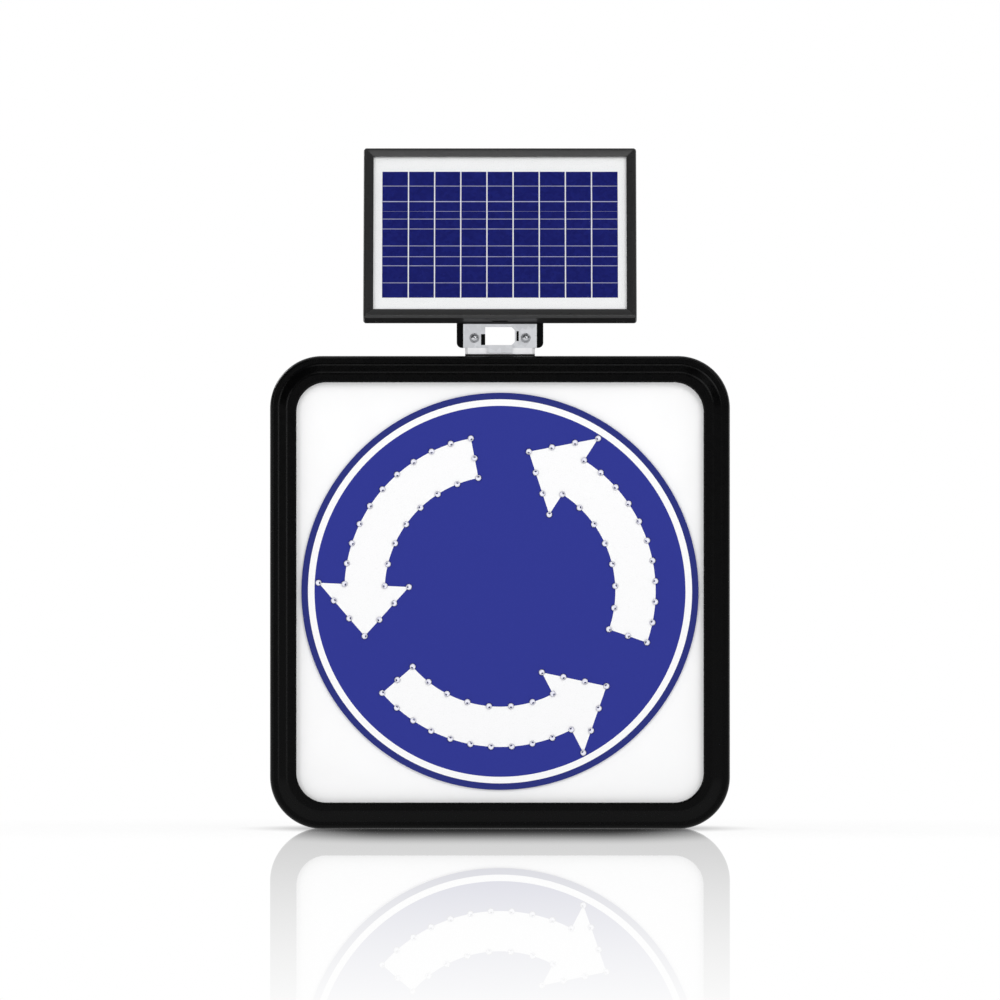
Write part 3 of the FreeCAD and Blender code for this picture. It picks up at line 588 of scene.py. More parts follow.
def crystals(name, scale, dark, light, rough, grain, grain_scale, metal=0.0, specular=0.5,
             edge=0.0):
    """Patches of crystal that differ in shade and gloss, under a fine grain."""
    n = Nodes(name)
    flakes = n.add("ShaderNodeTexVoronoi", {"Vector": n.coords, "Scale": scale})
    patch = n.add("ShaderNodeSeparateColor", {"Color": flakes.outputs["Color"]})
    n.feed(n.shader, {
        "Base Color": n.mix(n.spread(patch.outputs["Red"], 0, 1, 0, 1), dark, light),
        "Roughness": n.spread(patch.outputs["Green"], *rough, 0, 1),
        "Metallic": metal,
        "Specular IOR Level": specular,
    })
    n.bump(n.noise(grain_scale), grain, edge)
    return n.material


def reflective_film(name, color, rough, painted_rim_shade=None):
    """Sign film: a smooth top over small cells that barely show, and painted shade outside the
    ring.
    """
    n = Nodes(name)
    cells_seen = n.add("ShaderNodeTexVoronoi", {"Vector": n.coords, "Scale": FILM_CELL_SCALE},
                       feature="DISTANCE_TO_EDGE")
    edge = n.spread(cells_seen.outputs["Distance"], 0, 1, 0.0, FILM_CELL_EDGE)
    tone = n.mix(edge, [c * FILM_CELL_SHADE for c in color], color)
    # Painted shade: past the white ring the film turns to the second, darker colour by its radius.
    if painted_rim_shade:
        flat = n.add("ShaderNodeVectorMath", {0: n.coords, 1: (1, 0, 1), 2: (0, 0, -DISC_Z)},
                     operation="MULTIPLY_ADD")
        radius = n.add("ShaderNodeVectorMath", {0: flat.outputs["Vector"]}, operation="LENGTH")
        tone = n.mix(n.spread(radius.outputs["Value"], 0, 1, RING_IN, RING_OUT), tone, painted_rim_shade)
    n.feed(n.shader, {"Base Color": tone, "Roughness": rough, "Specular IOR Level": FILM_SPECULAR})
    n.bump(n.noise(FILM_WAVE_SCALE), FILM_WAVE_DEPTH)
    return n.material


def clear(name, tint, ior, rough):
    """Glass or resin that shows what lies behind it, with a Fresnel reflection."""
    n = Nodes(name)
    through = n.add("ShaderNodeBsdfTransparent", {"Color": (*tint, 1)})
    uneven = n.spread(n.noise(CLEAR_SCALE), rough * (1 - CLEAR_SWING), rough * (1 + CLEAR_SWING))
    gloss = n.add("ShaderNodeBsdfGlossy", {"Roughness": uneven})
    fresnel = n.add("ShaderNodeFresnel", {"IOR": ior})
    seen = n.blend(fresnel.outputs["Fac"], through.outputs["BSDF"], gloss.outputs["BSDF"])
    n.feed(n.output, {"Surface": seen})
    return n.material


CASE_PLASTIC = finish("case_plastic", (0.0006, 0.0006, 0.0007), 0.27, grain=0.012 * MM,
                      specular=0.11)
CASE_BACK_PLASTIC = finish("case_back_plastic", (0.0030, 0.0030, 0.0034), 0.36, grain=0.03 * MM,
                           specular=0.22)
RUBBER = finish("rubber", (0.012, 0.012, 0.012), 0.75, grain=0.05 * MM, specular=0.25,
                edge=0.4 * MM)
FACE_WHITE = finish("face_white", (0.95, 0.95, 0.952), 0.38, tint=0.01, grain=0.01 * MM,
                    grain_scale=900.0, specular=0.1)
FILM_WHITE = reflective_film("film_white", (0.94, 0.94, 0.945), 0.32)
# The second, darker blue is painted shade on the disc's rim outside the ring.
DISC_BLUE = reflective_film("disc_blue", (0.0270, 0.0360, 0.2780), 0.34, (0.0230, 0.0310, 0.1950))
LENS = clear("lamp_lens", (0.98, 0.98, 1.0), 1.3, 0.08)
DISH = finish("lamp_dish", (0.90, 0.90, 0.97), 0.4, tint=0.03)
CHIP = finish("lamp_chip", (0.055, 0.06, 0.13), 0.5, tint=0.3)
BOARD = finish("board_mask", (0.012, 0.09, 0.04), 0.4)
NYLON = finish("nylon", (0.6, 0.6, 0.58), 0.5)
ZINC = finish("zinc_plate", (0.54, 0.55, 0.57), 0.27, metal=1.0, tint=0.08, tint_scale=300.0,
              edge=0.3 * MM)
ANODISED = finish("black_anodised", (0.0145, 0.0145, 0.015), 0.32, grain=0.008 * MM, specular=0.6,
                  edge=0.9 * MM, stretch=(1, 8, 8))
MILL = finish("mill_aluminium", (0.50, 0.51, 0.53), 0.3, metal=1.0, tint=0.09, tint_scale=30.0,
              grain=0.03 * MM, grain_scale=1600.0, edge=0.5 * MM, stretch=(0.03, 1, 1))
PANE = clear("panel_glass", (0.998, 1.0, 1.0), 1.1, 0.06)
CELL = crystals("cell_silicon", 260.0, (0.0080, 0.0105, 0.130), (0.0110, 0.0155, 0.168),
                (0.35, 0.5), grain=0.01 * MM, grain_scale=1200.0, specular=0.06)
SILVER = finish("printed_silver", (0.44, 0.45, 0.62), 0.5, tint=0.12, tint_scale=60.0)
SHEET_WHITE = finish("sheet_white", (0.96, 0.96, 0.962), 0.5, tint=0.01, specular=0.2)
BOX_BLACK = finish("box_plastic", (0.011, 0.011, 0.012), 0.5, grain=0.03 * MM, edge=0.5 * MM)
POWDER = finish("powder_coat", (0.0014, 0.0014, 0.0016), 0.45, grain=0.04 * MM, grain_scale=1400.0,
                specular=0.05, edge=0.6 * MM)
GALVANISED = crystals("galvanised", 130.0, (0.6192, 0.6278, 0.6536), (0.72, 0.73, 0.76),
                      (0.3, 0.48), grain=0.02 * MM, grain_scale=900.0, metal=0.35,
                      edge=0.4 * MM)
CAST = finish("cast_aluminium", (0.92, 0.92, 0.945), 0.5, metal=0.22, tint=0.08, tint_scale=60.0,
              grain=0.1 * MM, grain_scale=900.0, edge=0.8 * MM)
BATTERY = finish("battery_case", (0.02, 0.02, 0.024), 0.4, edge=0.8 * MM)
TIN = finish("tinned", (0.6, 0.58, 0.52), 0.35, metal=1.0, edge=0.1 * MM)
CONTROLLER = finish("controller_case", (0.1, 0.11, 0.13), 0.5, edge=0.8 * MM)
FOAM = finish("foam", (0.06, 0.06, 0.06), 0.9, grain=0.1 * MM)

node_materials = {
    "cover_gasket": RUBBER, "face_sheet": FACE_WHITE, "board_spacers": NYLON,
    "lamp_board_right": BOARD, "lamp_board_left": BOARD, "lamp_board_bottom": BOARD,
    "frame_corner_keys": MILL, "solar_glass": PANE,
    "solar_backsheet": SHEET_WHITE, "junction_box": BOX_BLACK, "junction_box_lid": BOX_BLACK,
    "panel_bracket": POWDER,
    "clamp_plate": GALVANISED, "neck_foot": CAST, "neck_pad": RUBBER,
    "neck_backing_plate": GALVANISED,
    "rail_lower": MILL, "rail_upper": MILL,
    "rail_plate_lower": MILL, "rail_plate_upper": MILL,
    "battery": BATTERY, "battery_terminals": TIN, "battery_strap": GALVANISED,
    "strap_screws": ZINC, "charge_controller": CONTROLLER, "controller_pad": FOAM,
    "controller_terminals": BOX_BLACK, "gland_nut": BOX_BLACK,
}
for node_name, material in node_materials.items():
    nodes[node_name].material_slots[0].material = material


# Pieces


def case_front():
    """The front shell with its rim, bevel and band, all edges rounded."""
    rim_y = FRONT_Y + BEVEL_RISE
    band = RIM_W + BEVEL_W
    opening = band + BAND_W
    profile = [
        (0, JOINT_Y, CASE_R), (0, rim_y + EDGE_RISE, CASE_R),
        (EDGE_W, rim_y, CASE_R - EDGE_W), (RIM_W, rim_y, CASE_R - RIM_W),
        (band, FRONT_Y, CASE_R - band),
        (opening, FRONT_Y, OPENING_R), (opening, FACE_Y, OPENING_R),
        (WALL, FACE_Y, CASE_R - WALL), (WALL, JOINT_Y, CASE_R - WALL),
    ]
    loops = [case_loop(*p) for p in soften(profile, CASE_ROUNDING)]
    place(loft("case_front", loops, CASE_PLASTIC, closed=True), "case_black", "front_shell")


def flat_curve(name, outlines, thickness, front_y, material, edge=0.0):
    """A flat plate with its front at front_y: its edge is the first outline, the rest are holes."""
    curve = bpy.data.curves.new(name + "_outline", "CURVE")
    curve.dimensions = "2D"
    curve.fill_mode = "BOTH"
    curve.extrude = thickness / 2 - edge
    curve.bevel_depth = edge
    curve.bevel_resolution = FLAT_EDGE_STEPS
    curve.offset = -edge
    for outline in outlines:
        spline = curve.splines.new("POLY")
        spline.points.add(len(outline) - 1)
        for point, (x, z) in zip(spline.points, outline):
            point.co = (x, z, 0, 1)
        spline.use_cyclic_u = True
    carrier = add_object(name + "_carrier", curve)
    bpy.context.view_layer.update()
    mesh = bpy.data.meshes.new_from_object(carrier)
    bpy.data.objects.remove(carrier)
    bpy.data.curves.remove(curve)
    upright = Matrix.Rotation(math.pi / 2, 4, "X")
    mesh.transform(Matrix.Translation((0, front_y + thickness / 2, 0)) @ upright)
    mesh.materials.clear()
    mesh.materials.append(material)
    mesh.name = name
    shade(mesh, FLAT_SMOOTH_ANGLE)
    return add_object(name, mesh)


def circle(r, steps, x=0.0, z=DISC_Z):
    turns = [2 * math.pi * k / steps for k in range(steps)]
    return [(x + r * math.cos(a), z + r * math.sin(a)) for a in turns]


def arc(r, start, stop):
    return [(r, start + (stop - start) * k / ARC_STEPS) for k in range(ARC_STEPS + 1)]


lamp_boxes = {side: islands("lamps_" + side) for side in ("right", "left", "bottom")}
lamp_places = {side: [middle(b) for b in boxes] for side, boxes in lamp_boxes.items()}


def disc():
    outlines = [circle(DISC_R, DISC_STEPS)]
    for places in lamp_places.values():
        outlines += [circle(LENS_FLANGE_R, LENS_STEPS, p.x, p.z) for p in places]
    thickness = disc_hi.y - disc_lo.y
    place(flat_curve("disc_board", outlines, thickness, disc_lo.y, DISC_BLUE, DISC_EDGE),
          "disc_blue", "disc_plate")
    ring = flat_curve("disc_ring", [circle(RING_OUT, DISC_STEPS), circle(RING_IN, DISC_STEPS)],
                      FILM_T, FILM_Y, FILM_WHITE)
    place(ring, "film_white", "ring_film")


def arrows():
    outlines = []
    for turn in ARROW_TURNS:
        polar = arc(ARROW_OUT, TAIL_ANGLE, BASE_ANGLE)
        polar += [(HEAD_OUT, BASE_ANGLE), (TIP_R, TIP_ANGLE), (HEAD_IN, BASE_ANGLE)]
        polar += arc(ARROW_IN, BASE_ANGLE, TAIL_ANGLE)
        outlines.append([(r * math.cos(turn + a), DISC_Z + r * math.sin(turn + a))
                         for r, a in polar])
    marks = flat_curve("arrow_marks", outlines, FILM_T, FILM_Y, FILM_WHITE)
    place(marks, "film_white", "arrow_films")


def chip_solid(spot, number):
    """Points and faces of a dark oval chip, moved from its lamp's middle towards the arrow's."""
    turn = math.atan2(spot.z - DISC_Z, spot.x) + CHIP_SWAY * math.sin(number * CHIP_TURN)
    if math.hypot(spot.x, spot.z - DISC_Z) > ARROW_MID_R:
        turn += math.pi
    inward = Vector((math.cos(turn), 0, math.sin(turn)))
    along = Vector((-inward.z, 0, inward.x))
    centre = Vector((spot.x, FILM_Y - CHIP_LIFT, spot.z)) + inward * CHIP_SHIFT
    verts, faces = spin_profile(CHIP_PROFILE, (0, 0, 0), FORWARD, CHIP_STEPS)
    return [centre + v + along * v.dot(along) * CHIP_STRETCH for v in verts], faces


def lamps():
    """Round lenses with a domed end over a white dish and a dark oval chip."""
    dishes = Solids()
    chips = Solids()
    for side, boxes in lamp_boxes.items():
        base_y = boxes[0][1].y
        stem = base_y - FILM_Y
        rise = FILM_Y - boxes[0][0].y
        profile = [(0, 0), (LENS_R, 0), (LENS_R, stem)]
        for k in range(1, DOME_STEPS + 1):
            a = math.pi / 2 * k / DOME_STEPS
            profile.append((LENS_R * math.cos(a), stem + rise * math.sin(a)))
        lenses = Solids()
        for number, p in enumerate(lamp_places[side]):
            lenses.spin(profile, (p.x, base_y, p.z), FORWARD, LENS_STEPS)
            dishes.spin(DISH_PROFILE, (p.x, FILM_Y + DISH_DEPTH, p.z), FORWARD, LENS_STEPS)
            chips.add(*chip_solid(p, number))
        place(lenses.build("lamp_lenses_" + side, LENS), "lamp_clear", "lamps_" + side)
    place(dishes.build("lamp_dishes", DISH), "zinc_steel")
    place(chips.build("lamp_chips", CHIP), "zinc_steel")


def cut(obj, cutter):
    """Take the cutter's volume out of an object and drop the cutter."""
    modifier = obj.modifiers.new("cut", "BOOLEAN")
    modifier.operation = "DIFFERENCE"
    modifier.solver = "EXACT"
    modifier.object = cutter
    bpy.context.view_layer.update()
    carved_obj = obj.evaluated_get(bpy.context.evaluated_depsgraph_get())
    carved = bpy.data.meshes.new_from_object(carved_obj)
    obj.modifiers.clear()
    obj.data = carved
    shade(carved)
    bpy.data.objects.remove(cutter)
    return obj


def drain_slots():
    """Blocks with round ends where the lower rail is slotted."""
    y_mid = (FRAME_GLASS_Y + PANEL_T) / 2
    slots = Solids()
    for x, length in SLOTS:
        run = length / 2 - SLOT_R
        ring = []
        for k in range(SLOT_STEPS):
            a = 2 * math.pi * k / SLOT_STEPS
            end = x + run if math.cos(a) > 0 else x - run
            ring.append(Vector((end + SLOT_R * math.cos(a), y_mid + SLOT_R * math.sin(a), 0)))
        slots.add([p + UP * z for z in (-SLOT_CUT, SLOT_CUT) for p in ring],
                  ring_faces(SLOT_STEPS, 2, caps=True))
    return slots.build("slot_cutter", ANODISED, PANEL_PLACE)


def panel_frame():
    """Four rails of one profile, mitred at the corners, with rounded outer edges."""
    web = FRAME_GLASS_Y + FRAME_WEB
    back = PANEL_T - FRAME_WEB
    # Inset, depth and rounding of each corner of the profile
    profile = [
        (0, 0, 3.3 * MM), (FRAME_FACE_FLAT, 0, 0.5 * MM), (FRAME_FACE, FRAME_FACE_DROP, 0.3 * MM),
        (FRAME_FACE, FRAME_WALL, 0.1 * MM),
        (FRAME_WALL, FRAME_WALL, FRAME_INNER_R), (FRAME_WALL, FRAME_GLASS_Y, FRAME_INNER_R),
        (FRAME_SEAT, FRAME_GLASS_Y, FRAME_INNER_R), (FRAME_SEAT, web, FRAME_INNER_R),
        (FRAME_WALL, web, FRAME_INNER_R), (FRAME_WALL, back, FRAME_INNER_R),
        (FRAME_LIP, back, FRAME_INNER_R), (FRAME_LIP, PANEL_T, 0.4 * MM),
        (0, PANEL_T, 1.2 * MM),
    ]
    loops = []
    count = len(profile)
    for k, (inset, y, radius) in enumerate(profile):
        corner = Vector((inset, y))
        before = Vector(profile[k - 1][:2])
        after = Vector(profile[(k + 1) % count][:2])
        start = corner + (before - corner).normalized() * radius
        end = corner + (after - corner).normalized() * radius
        for s in range(ROUND_STEPS + 1):
            q = curve_point(start, corner, end, s / ROUND_STEPS)
            loops.append(panel_loop(q.x, q.y, PANEL_CORNER_R - q.x))
    size = len(loops[0])
    per_corner = PANEL_CORNER_STEPS + 1
    for side, name in enumerate(("top", "left", "bottom", "right")):
        first = side * per_corner + PANEL_CORNER_STEPS // 2
        last = first + per_corner
        along = (loops[0][last % size] - loops[0][first]).normalized()
        rows = []
        for k in range(first, last + 1):
            shift = along * {first: MITRE_GAP, last: -MITRE_GAP}.get(k, 0)
            rows.append([PANEL_PLACE @ (loop[k % size] + shift) for loop in loops])
        rail = loft("frame_rail_" + name, rows, ANODISED, caps=True)
        if name == "bottom":
            cut(rail, drain_slots())
        place(rail, "frame_black", "solar_frame_" + name)


def cells():
    """Columns of cells behind the glass, crossed by their gaps and printed busbars."""
    pitch = 2 * CELL_FIELD_HALF / CELL_COLUMNS
    columns = Solids()
    lines = Solids()
    for i in range(CELL_COLUMNS):
        x0 = -CELL_FIELD_HALF + i * pitch + (CELL_GAP / 2 if i else 0)
        x1 = -CELL_FIELD_HALF + (i + 1) * pitch - (CELL_GAP / 2 if i < CELL_COLUMNS - 1 else 0)
        columns.box((x0, CELL_Y, CELL_FIELD_LOW), (x1, CELL_BACK_Y, CELL_FIELD_HIGH))
        fine_w = FINE_BUSBAR_WIDER_W if i in WIDER_COLUMNS else FINE_BUSBAR_W
        for z, width in BUSBARS + [(FINE_BUSBAR, fine_w)]:
            lines.box((x0, CELL_Y - BUSBAR_RISE, z - width / 2), (x1, CELL_Y, z + width / 2))
    place(columns.build("cell_columns", CELL, PANEL_PLACE), "cell_blue", "solar_cells")
    place(lines.build("cell_busbars", SILVER, PANEL_PLACE), "film_white")


def shank(r, length):
    return [(0, SHANK_START), (r, SHANK_START), (r, SHANK_TIP - length), (r - SHANK_TIP, -length),
            (0, -length)]


def hex_bolt(solids, seat, axis, length):
    """A washer, a chamfered hexagon and its round shank."""
    solids.spin(HEX_WASHER, seat, axis, HEX_WASHER_STEPS)
    solids.hexagons(HEX_HEAD, seat, axis)
    solids.spin(shank(M6_R, length), seat, axis, M6_STEPS)


def tube(inner, outer, length):
    return [(inner, 0), (outer, 0), (outer, length), (inner, length), (inner, 0)]


def back_case():
    """The rear cover: a tray with rounded edges, sunk screw seats, ribs, bosses and its shelf."""
    profile = [(WALL + COVER_FLAT, INNER_Y), (WALL, INNER_Y), (WALL, COVER_Y), (0, COVER_Y),
               (0, BACK_Y - COVER_CHAMFER), (COVER_CHAMFER, BACK_Y),
               (COVER_CHAMFER + COVER_FLAT, BACK_Y)]
    profile = soften(profile, COVER_ROUNDING, closed=False)
    loops = [case_loop(p.x, p.y, CASE_R - p.x) for p in profile]
    cover = loft("back_case", loops, CASE_BACK_PLASTIC, caps=True)
    seats = Solids()
    bosses = Solids()
    for box in islands("case_screws"):
        bottom = middle(box, y=BACK_Y - SCREW_SEAT_DEPTH)
        seats.spin(SCREW_SEAT, bottom, BACKWARD, SCREW_SEAT_STEPS)
        for y, length in ((COVER_Y, COVER_BOSS_L), (JOINT_Y - FRONT_BOSS_L, FRONT_BOSS_L)):
            bosses.spin(tube(BOSS_HOLE_R, BOSS_R, length), middle(box, y=y), BACKWARD, BOSS_STEPS)
    cut(cover, seats.build("seat_cutter", CASE_BACK_PLASTIC))
    place(cover, "case_black", "rear_cover")
    bosses.box((-SHELF_X, SHELF_Y, SHELF_LOW), (SHELF_X, INNER_Y, SHELF_HIGH))
    for x in (-SHELF_WEB_X, SHELF_WEB_X):
        bosses.box((x - SHELF_WEB_HALF, COVER_Y, WALL), (x + SHELF_WEB_HALF, INNER_Y, SHELF_LOW))
    for x in (-STRAP_BOSS_X, STRAP_BOSS_X):
        bosses.spin(tube(STRAP_BOSS_HOLE_R, STRAP_BOSS_R, STRAP_BOSS_L),
                    (x, INNER_Y - STRAP_BOSS_L, STRAP_BOSS_Z), BACKWARD, STRAP_BOSS_STEPS)
    place(bosses.build("case_bosses", CASE_BACK_PLASTIC), "case_black")
    section = [(-w, h) for w, h in RIB_HALF] + [(w, h) for w, h in reversed(RIB_HALF)]
    ribs = Solids()
    for k in range(-RIBS_EACH_SIDE, RIBS_EACH_SIDE + 1):
        points = [(k * RIB_PITCH + w, BACK_Y + min(h, rise), z)
                  for z, rise in RIB_ENDS for w, h in section]
        ribs.add(points, ring_faces(len(section), len(RIB_ENDS), caps=True))
    place(ribs.build("cover_ribs", CASE_BACK_PLASTIC), "case_black")


def fasteners():
    """Bolts and screws in place of the faceted ones, each on its node's own places."""
    neck = Solids()
    for box in islands("neck_bolts"):
        seat = middle(box, y=box[0].y + M6_HEAD)
        neck.spin(DOME_HEAD, seat, FORWARD, DOME_HEAD_STEPS)
        neck.spin(shank(M6_R, box[1].y - seat.y), seat, FORWARD, M6_STEPS)
    place(neck.build("neck_bolt_domes", ZINC), "zinc_steel", "neck_bolts")
    nuts = Solids()
    for box in islands("neck_nuts"):
        depth = box[1].y - box[0].y
        rings = [(NUT_CORNER_FLATS, 0), (M6_FLATS, NUT_CHAMFER), (M6_FLATS, depth - NUT_CHAMFER),
                 (NUT_CORNER_FLATS, depth)]
        nuts.hexagons(rings, middle(box, y=box[0].y), BACKWARD)
    place(nuts.build("neck_hex_nuts", ZINC), "zinc_steel", "neck_nuts")
    foot = Solids()
    for box in islands("foot_bolts"):
        seat = middle(box, z=box[1].z - M6_HEAD)
        hex_bolt(foot, seat, UP, seat.z - box[0].z)
    place(foot.build("foot_hex_bolts", ZINC), "zinc_steel", "foot_bolts")
    rails = Solids()
    for box in islands("rail_bolts"):
        seat = middle(box, y=box[1].y - M6_HEAD)
        hex_bolt(rails, seat, BACKWARD, seat.y - box[0].y)
    place(rails.build("rail_hex_bolts", ZINC), "zinc_steel", "rail_bolts")
    case = Solids()
    for box in islands("case_screws"):
        seat = middle(box, y=box[1].y - CASE_SCREW_HEAD_H)
        case.spin(CASE_SCREW_HEAD, seat, BACKWARD, PAN_HEAD_STEPS)
        case.spin(shank(CASE_SCREW_R, seat.y - box[0].y), seat, BACKWARD, SCREW_STEPS)
    place(case.build("case_pan_screws", ZINC), "zinc_steel", "case_screws")
    arms = Solids()
    for x in (-ARM_SCREW_X, ARM_SCREW_X):
        for z in (ARM_SCREW_INSET, PANEL_H - ARM_SCREW_INSET):
            seat = Vector((x, ARM_SCREW_Y, z))
            arms.spin(ARM_SCREW_HEAD, seat, BACKWARD, PAN_HEAD_STEPS)
            arms.spin(shank(ARM_SCREW_R, ARM_SCREW_LENGTH), seat, BACKWARD, SCREW_STEPS)
    place(arms.build("arm_pan_screws", ZINC, PANEL_PLACE), "zinc_steel", "arm_screws")


def glands():
    """The cable gland and the junction box's gland, turned, each with its hexagon."""
    low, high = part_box("cable_gland")
    base = middle((low, high), y=low.y)
    body = Solids()
    body.spin(GLAND_BODY, base, BACKWARD, GLAND_STEPS)
    body.hexagons(GLAND_HEX, base, BACKWARD)
    for k in range(GRIP_RIBS):
        a = 2 * math.pi * k / GRIP_RIBS
        foot = base + Vector((math.cos(a), 0, math.sin(a))) * GRIP_R + BACKWARD * GRIP_START
        body.spin(GRIP_RIB, foot, BACKWARD, GRIP_RIB_STEPS)
    place(body.build("cable_gland_body", BOX_BLACK), "box_black", "cable_gland")
    small = Solids()
    small.spin(SMALL_GLAND, SMALL_GLAND_TOP, -UP, SMALL_GLAND_STEPS)
    small.hexagons(SMALL_GLAND_HEX, SMALL_GLAND_TOP, -UP)
    place(small.build("junction_gland", BOX_BLACK, PANEL_PLACE), "box_black", "junction_box_gland")


case_front()
disc()
arrows()
lamps()
panel_frame()
cells()
back_case()
fasteners()
glands()

# Camera, on the sign's middle line and level with the photo's middle

PHOTO_PX = 1000
PHOTO_SCALE = 1.3043 * MM
PHOTO_BASE_PX = 829
LENS_MM = 700.0
SENSOR_MM = 36.0
OUTLINE_Y = FRONT_Y + BEVEL_RISE
camera_distance = PHOTO_PX * PHOTO_SCALE * LENS_MM / SENSOR_MM
camera_z = (PHOTO_BASE_PX - PHOTO_PX / 2) * PHOTO_SCALE

camera_data = bpy.data.cameras.new("camera")
camera_data.lens = LENS_MM
camera_data.sensor_width = SENSOR_MM
camera_data.clip_end = 200.0
camera = add_object("camera", camera_data)
camera.location = (0, OUTLINE_Y - camera_distance, camera_z)
camera.rotation_euler = Euler((math.pi / 2, 0, 0))
bpy.context.scene.camera = camera

# Floor: its own white as the camera sees it near the sign and far away, and as all else sees it
FLOOR_HALF = 40.0
NEAR_GLOW = 0.8
FAR_GLOW = 1.0
GLOW_START = 0.05
GLOW_STOP = 0.8
UNSEEN_GLOW = 0.7
# Its mirror works at flat angles only: near the sign in a strip, and a wide one that fades away
FLAT_START = 0.9
FLAT_STOP = 0.975
MIRROR_NEAR = 0.565
MIRROR_NEAR_DEPTH = 1.155
MIRROR_WIDE = 0.385
MIRROR_WIDE_REACH = 9.8
# Painted shadow: how dark, and how deep each way, black is mixed into the floor near the case
SHADOW = 0.7
SHADOW_DEPTH = 0.36
STRIP_HALF = 0.13
STRIP_FADE = 0.205
STRIP_START = 0.2
STRIP_STOP = 1.1


def floor_material():
    """A pale glossy floor: white to the camera, with a painted close shadow and a fading
    reflection.
    """
    n = Nodes("pale_floor")
    n.feed(n.shader, {"Base Color": (0.9, 0.9, 0.9, 1), "Roughness": 0.9,
                      "Specular IOR Level": 0.0})
    axes = n.add("ShaderNodeSeparateXYZ", {"Vector": n.coords}).outputs

    def past(axis, half):
        """How far a point lies past a half width on an axis."""
        return n.calc("MAXIMUM", n.calc("SUBTRACT", n.calc("ABSOLUTE", axes[axis]), half), 0.0)

    def length(a, b):
        return n.calc("SQRT", n.calc("ADD", n.calc("MULTIPLY", a, a), n.calc("MULTIPLY", b, b)))

    def near_strip(depth, level):
        """A level that fades smoothly around a strip under the case, over a depth each way."""
        across = n.calc("DIVIDE", past("X", STRIP_HALF), STRIP_FADE)
        deep = n.calc("DIVIDE", axes["Y"], depth)
        return n.spread(length(across, deep), level, 0.0, STRIP_START, STRIP_STOP, "SMOOTHSTEP")

    away = length(past("X", CASE_W / 2), past("Y", (BACK_Y - FRONT_Y) / 2))
    seen = n.add("ShaderNodeLightPath").outputs["Is Camera Ray"]
    seen_glow = n.spread(away, NEAR_GLOW, FAR_GLOW, GLOW_START, GLOW_STOP)
    glow = n.calc("MULTIPLY", seen, n.calc("SUBTRACT", seen_glow, UNSEEN_GLOW))
    glow = n.calc("ADD", glow, UNSEEN_GLOW)
    white = n.add("ShaderNodeEmission").outputs["Emission"]
    lit = n.blend(glow, n.shader.outputs["BSDF"], white)
    facing = n.add("ShaderNodeLayerWeight").outputs["Facing"]
    grazing = n.calc("MULTIPLY", n.spread(facing, 0.0, 1.0, FLAT_START, FLAT_STOP), seen)
    mirror = n.add("ShaderNodeBsdfGlossy", {"Color": (1, 1, 1, 1), "Roughness": 0.0})
    wide = n.spread(away, MIRROR_WIDE, 0.0, 0.0, MIRROR_WIDE_REACH)
    mirrored = n.calc("ADD", near_strip(MIRROR_NEAR_DEPTH, MIRROR_NEAR), wide)
    both = n.blend(n.calc("MULTIPLY", mirrored, grazing), lit, mirror.outputs["BSDF"])
    # Painted shadow: a black shader mixed in by place around the case, at flat angles only
    shadow = n.add("ShaderNodeBsdfDiffuse", {"Color": (0, 0, 0, 1)})
    contact = n.calc("MULTIPLY", near_strip(SHADOW_DEPTH, SHADOW), grazing)
    n.feed(n.output, {"Surface": n.blend(contact, both, shadow.outputs["BSDF"])})
    return n.material


def stage():
    size = FLOOR_HALF
    floor_mesh = bpy.data.meshes.new("floor")
    corners = [(-size, -size, 0), (size, -size, 0), (size, size, 0), (-size, size, 0)]
    floor_mesh.from_pydata(corners, [], [(0, 1, 2, 3)])
    floor_mesh.materials.append(floor_material())
    add_object("floor", floor_mesh)


# World: its level as a light, and what gloss sees of it by height, and by depth from front to back
ROOM_LIGHT = 0.6
GLOSS_HEIGHTS = [(0.09, 1.0), (0.14, 0.3), (0.3, 0.3), (0.6, 1.0)]
GLOSS_FRONT = 0.03
GLOSS_FRONT_Y = -0.3
GLOSS_BACK = 1.0
GLOSS_BACK_Y = 0.15


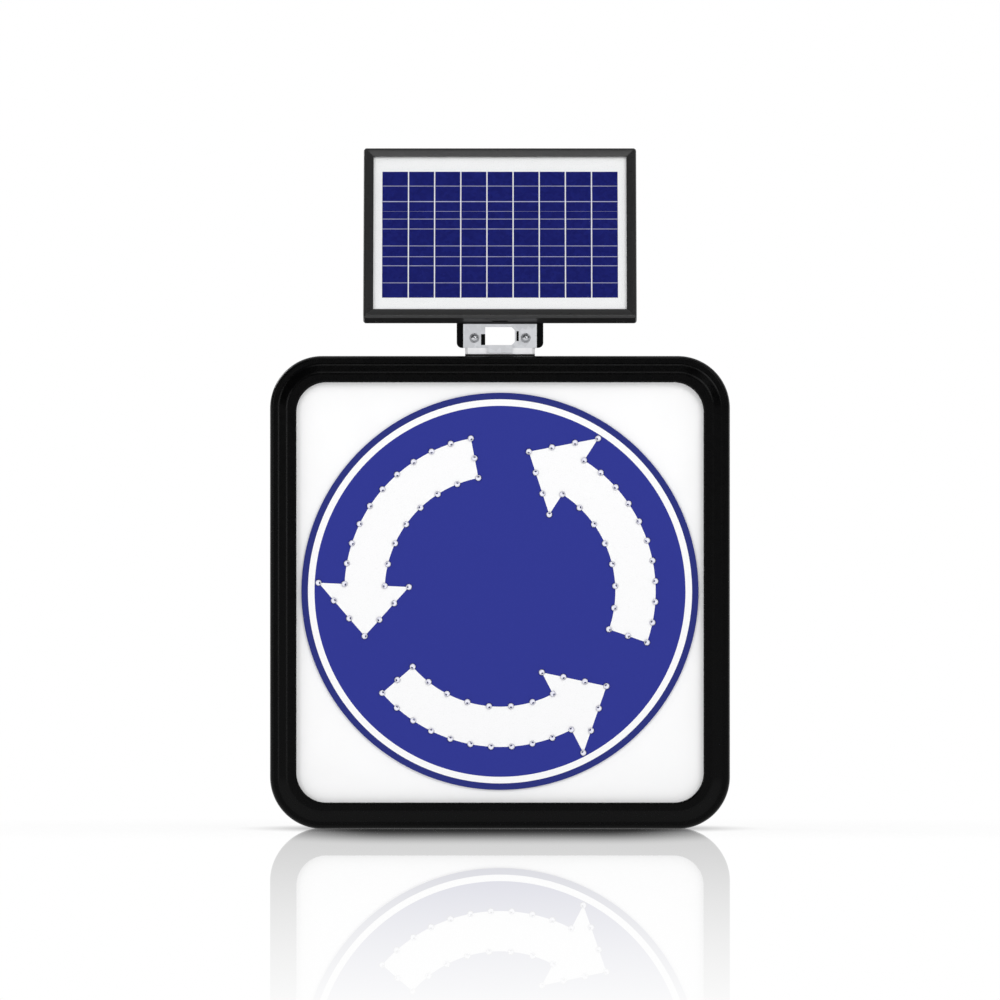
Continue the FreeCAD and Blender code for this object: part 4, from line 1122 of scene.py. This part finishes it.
def world():
    """A white room: full white to the camera and the floor's mirror, softer as a light, and partly
    dark to gloss."""
    world_data = bpy.data.worlds.new("studio")
    bpy.context.scene.world = world_data
    world_data.use_nodes = True
    n = Tree(world_data.node_tree)
    direction = n.add("ShaderNodeTexCoord").outputs["Generated"]
    axes = n.add("ShaderNodeSeparateXYZ", {"Vector": direction}).outputs
    by_depth = n.spread(axes["Y"], GLOSS_FRONT, GLOSS_BACK, GLOSS_FRONT_Y, GLOSS_BACK_Y)
    by_height = n.add("ShaderNodeValToRGB", {"Fac": axes["Z"]})
    steps = by_height.color_ramp.elements
    steps[0].position = GLOSS_HEIGHTS[0][0]
    steps[-1].position = GLOSS_HEIGHTS[-1][0]
    for height, _ in GLOSS_HEIGHTS[1:-1]:
        steps.new(height)
    for step, (_, level) in zip(steps, GLOSS_HEIGHTS):
        step.color = (level, level, level, 1)
    in_gloss = n.calc("MULTIPLY", by_depth, by_height.outputs["Color"])
    rays = n.add("ShaderNodeLightPath").outputs
    strength = n.pick(rays["Is Glossy Ray"], ROOM_LIGHT, in_gloss)
    for kind in ("Singular", "Transmission", "Camera"):
        strength = n.pick(rays["Is " + kind + " Ray"], strength, 1.0)
    n.feed(n.tree.nodes["Background"], {"Color": (1, 1, 1, 1), "Strength": strength})


def area_light(name, location, target, size, power):
    data = bpy.data.lights.new(name, "AREA")
    data.size = size
    data.energy = power
    lamp = add_object(name, data)
    lamp.location = location
    lamp.rotation_euler = (Vector(target) - Vector(location)).to_track_quat("-Z", "Y").to_euler()


stage()
world()
area_light("key", (2.9, -4.6, 2.9), (0, 0, 0.4), size=2.6, power=68)
area_light("top", (0, -3.8, 3.8), (0, 0, 0.5), size=1.8, power=24)
area_light("fill", (-3.0, -4.4, 0.9), (0, 0, 0.3), size=1.7, power=30)
area_light("back_key", (-3.2, 3.8, 3.0), (0, 0, 0.4), size=1.9, power=85)
area_light("back_fill", (3.6, 3.4, 1.2), (0, 0, 0.4), size=3.0, power=30)
bpy.context.scene.view_settings.view_transform = "Standard"
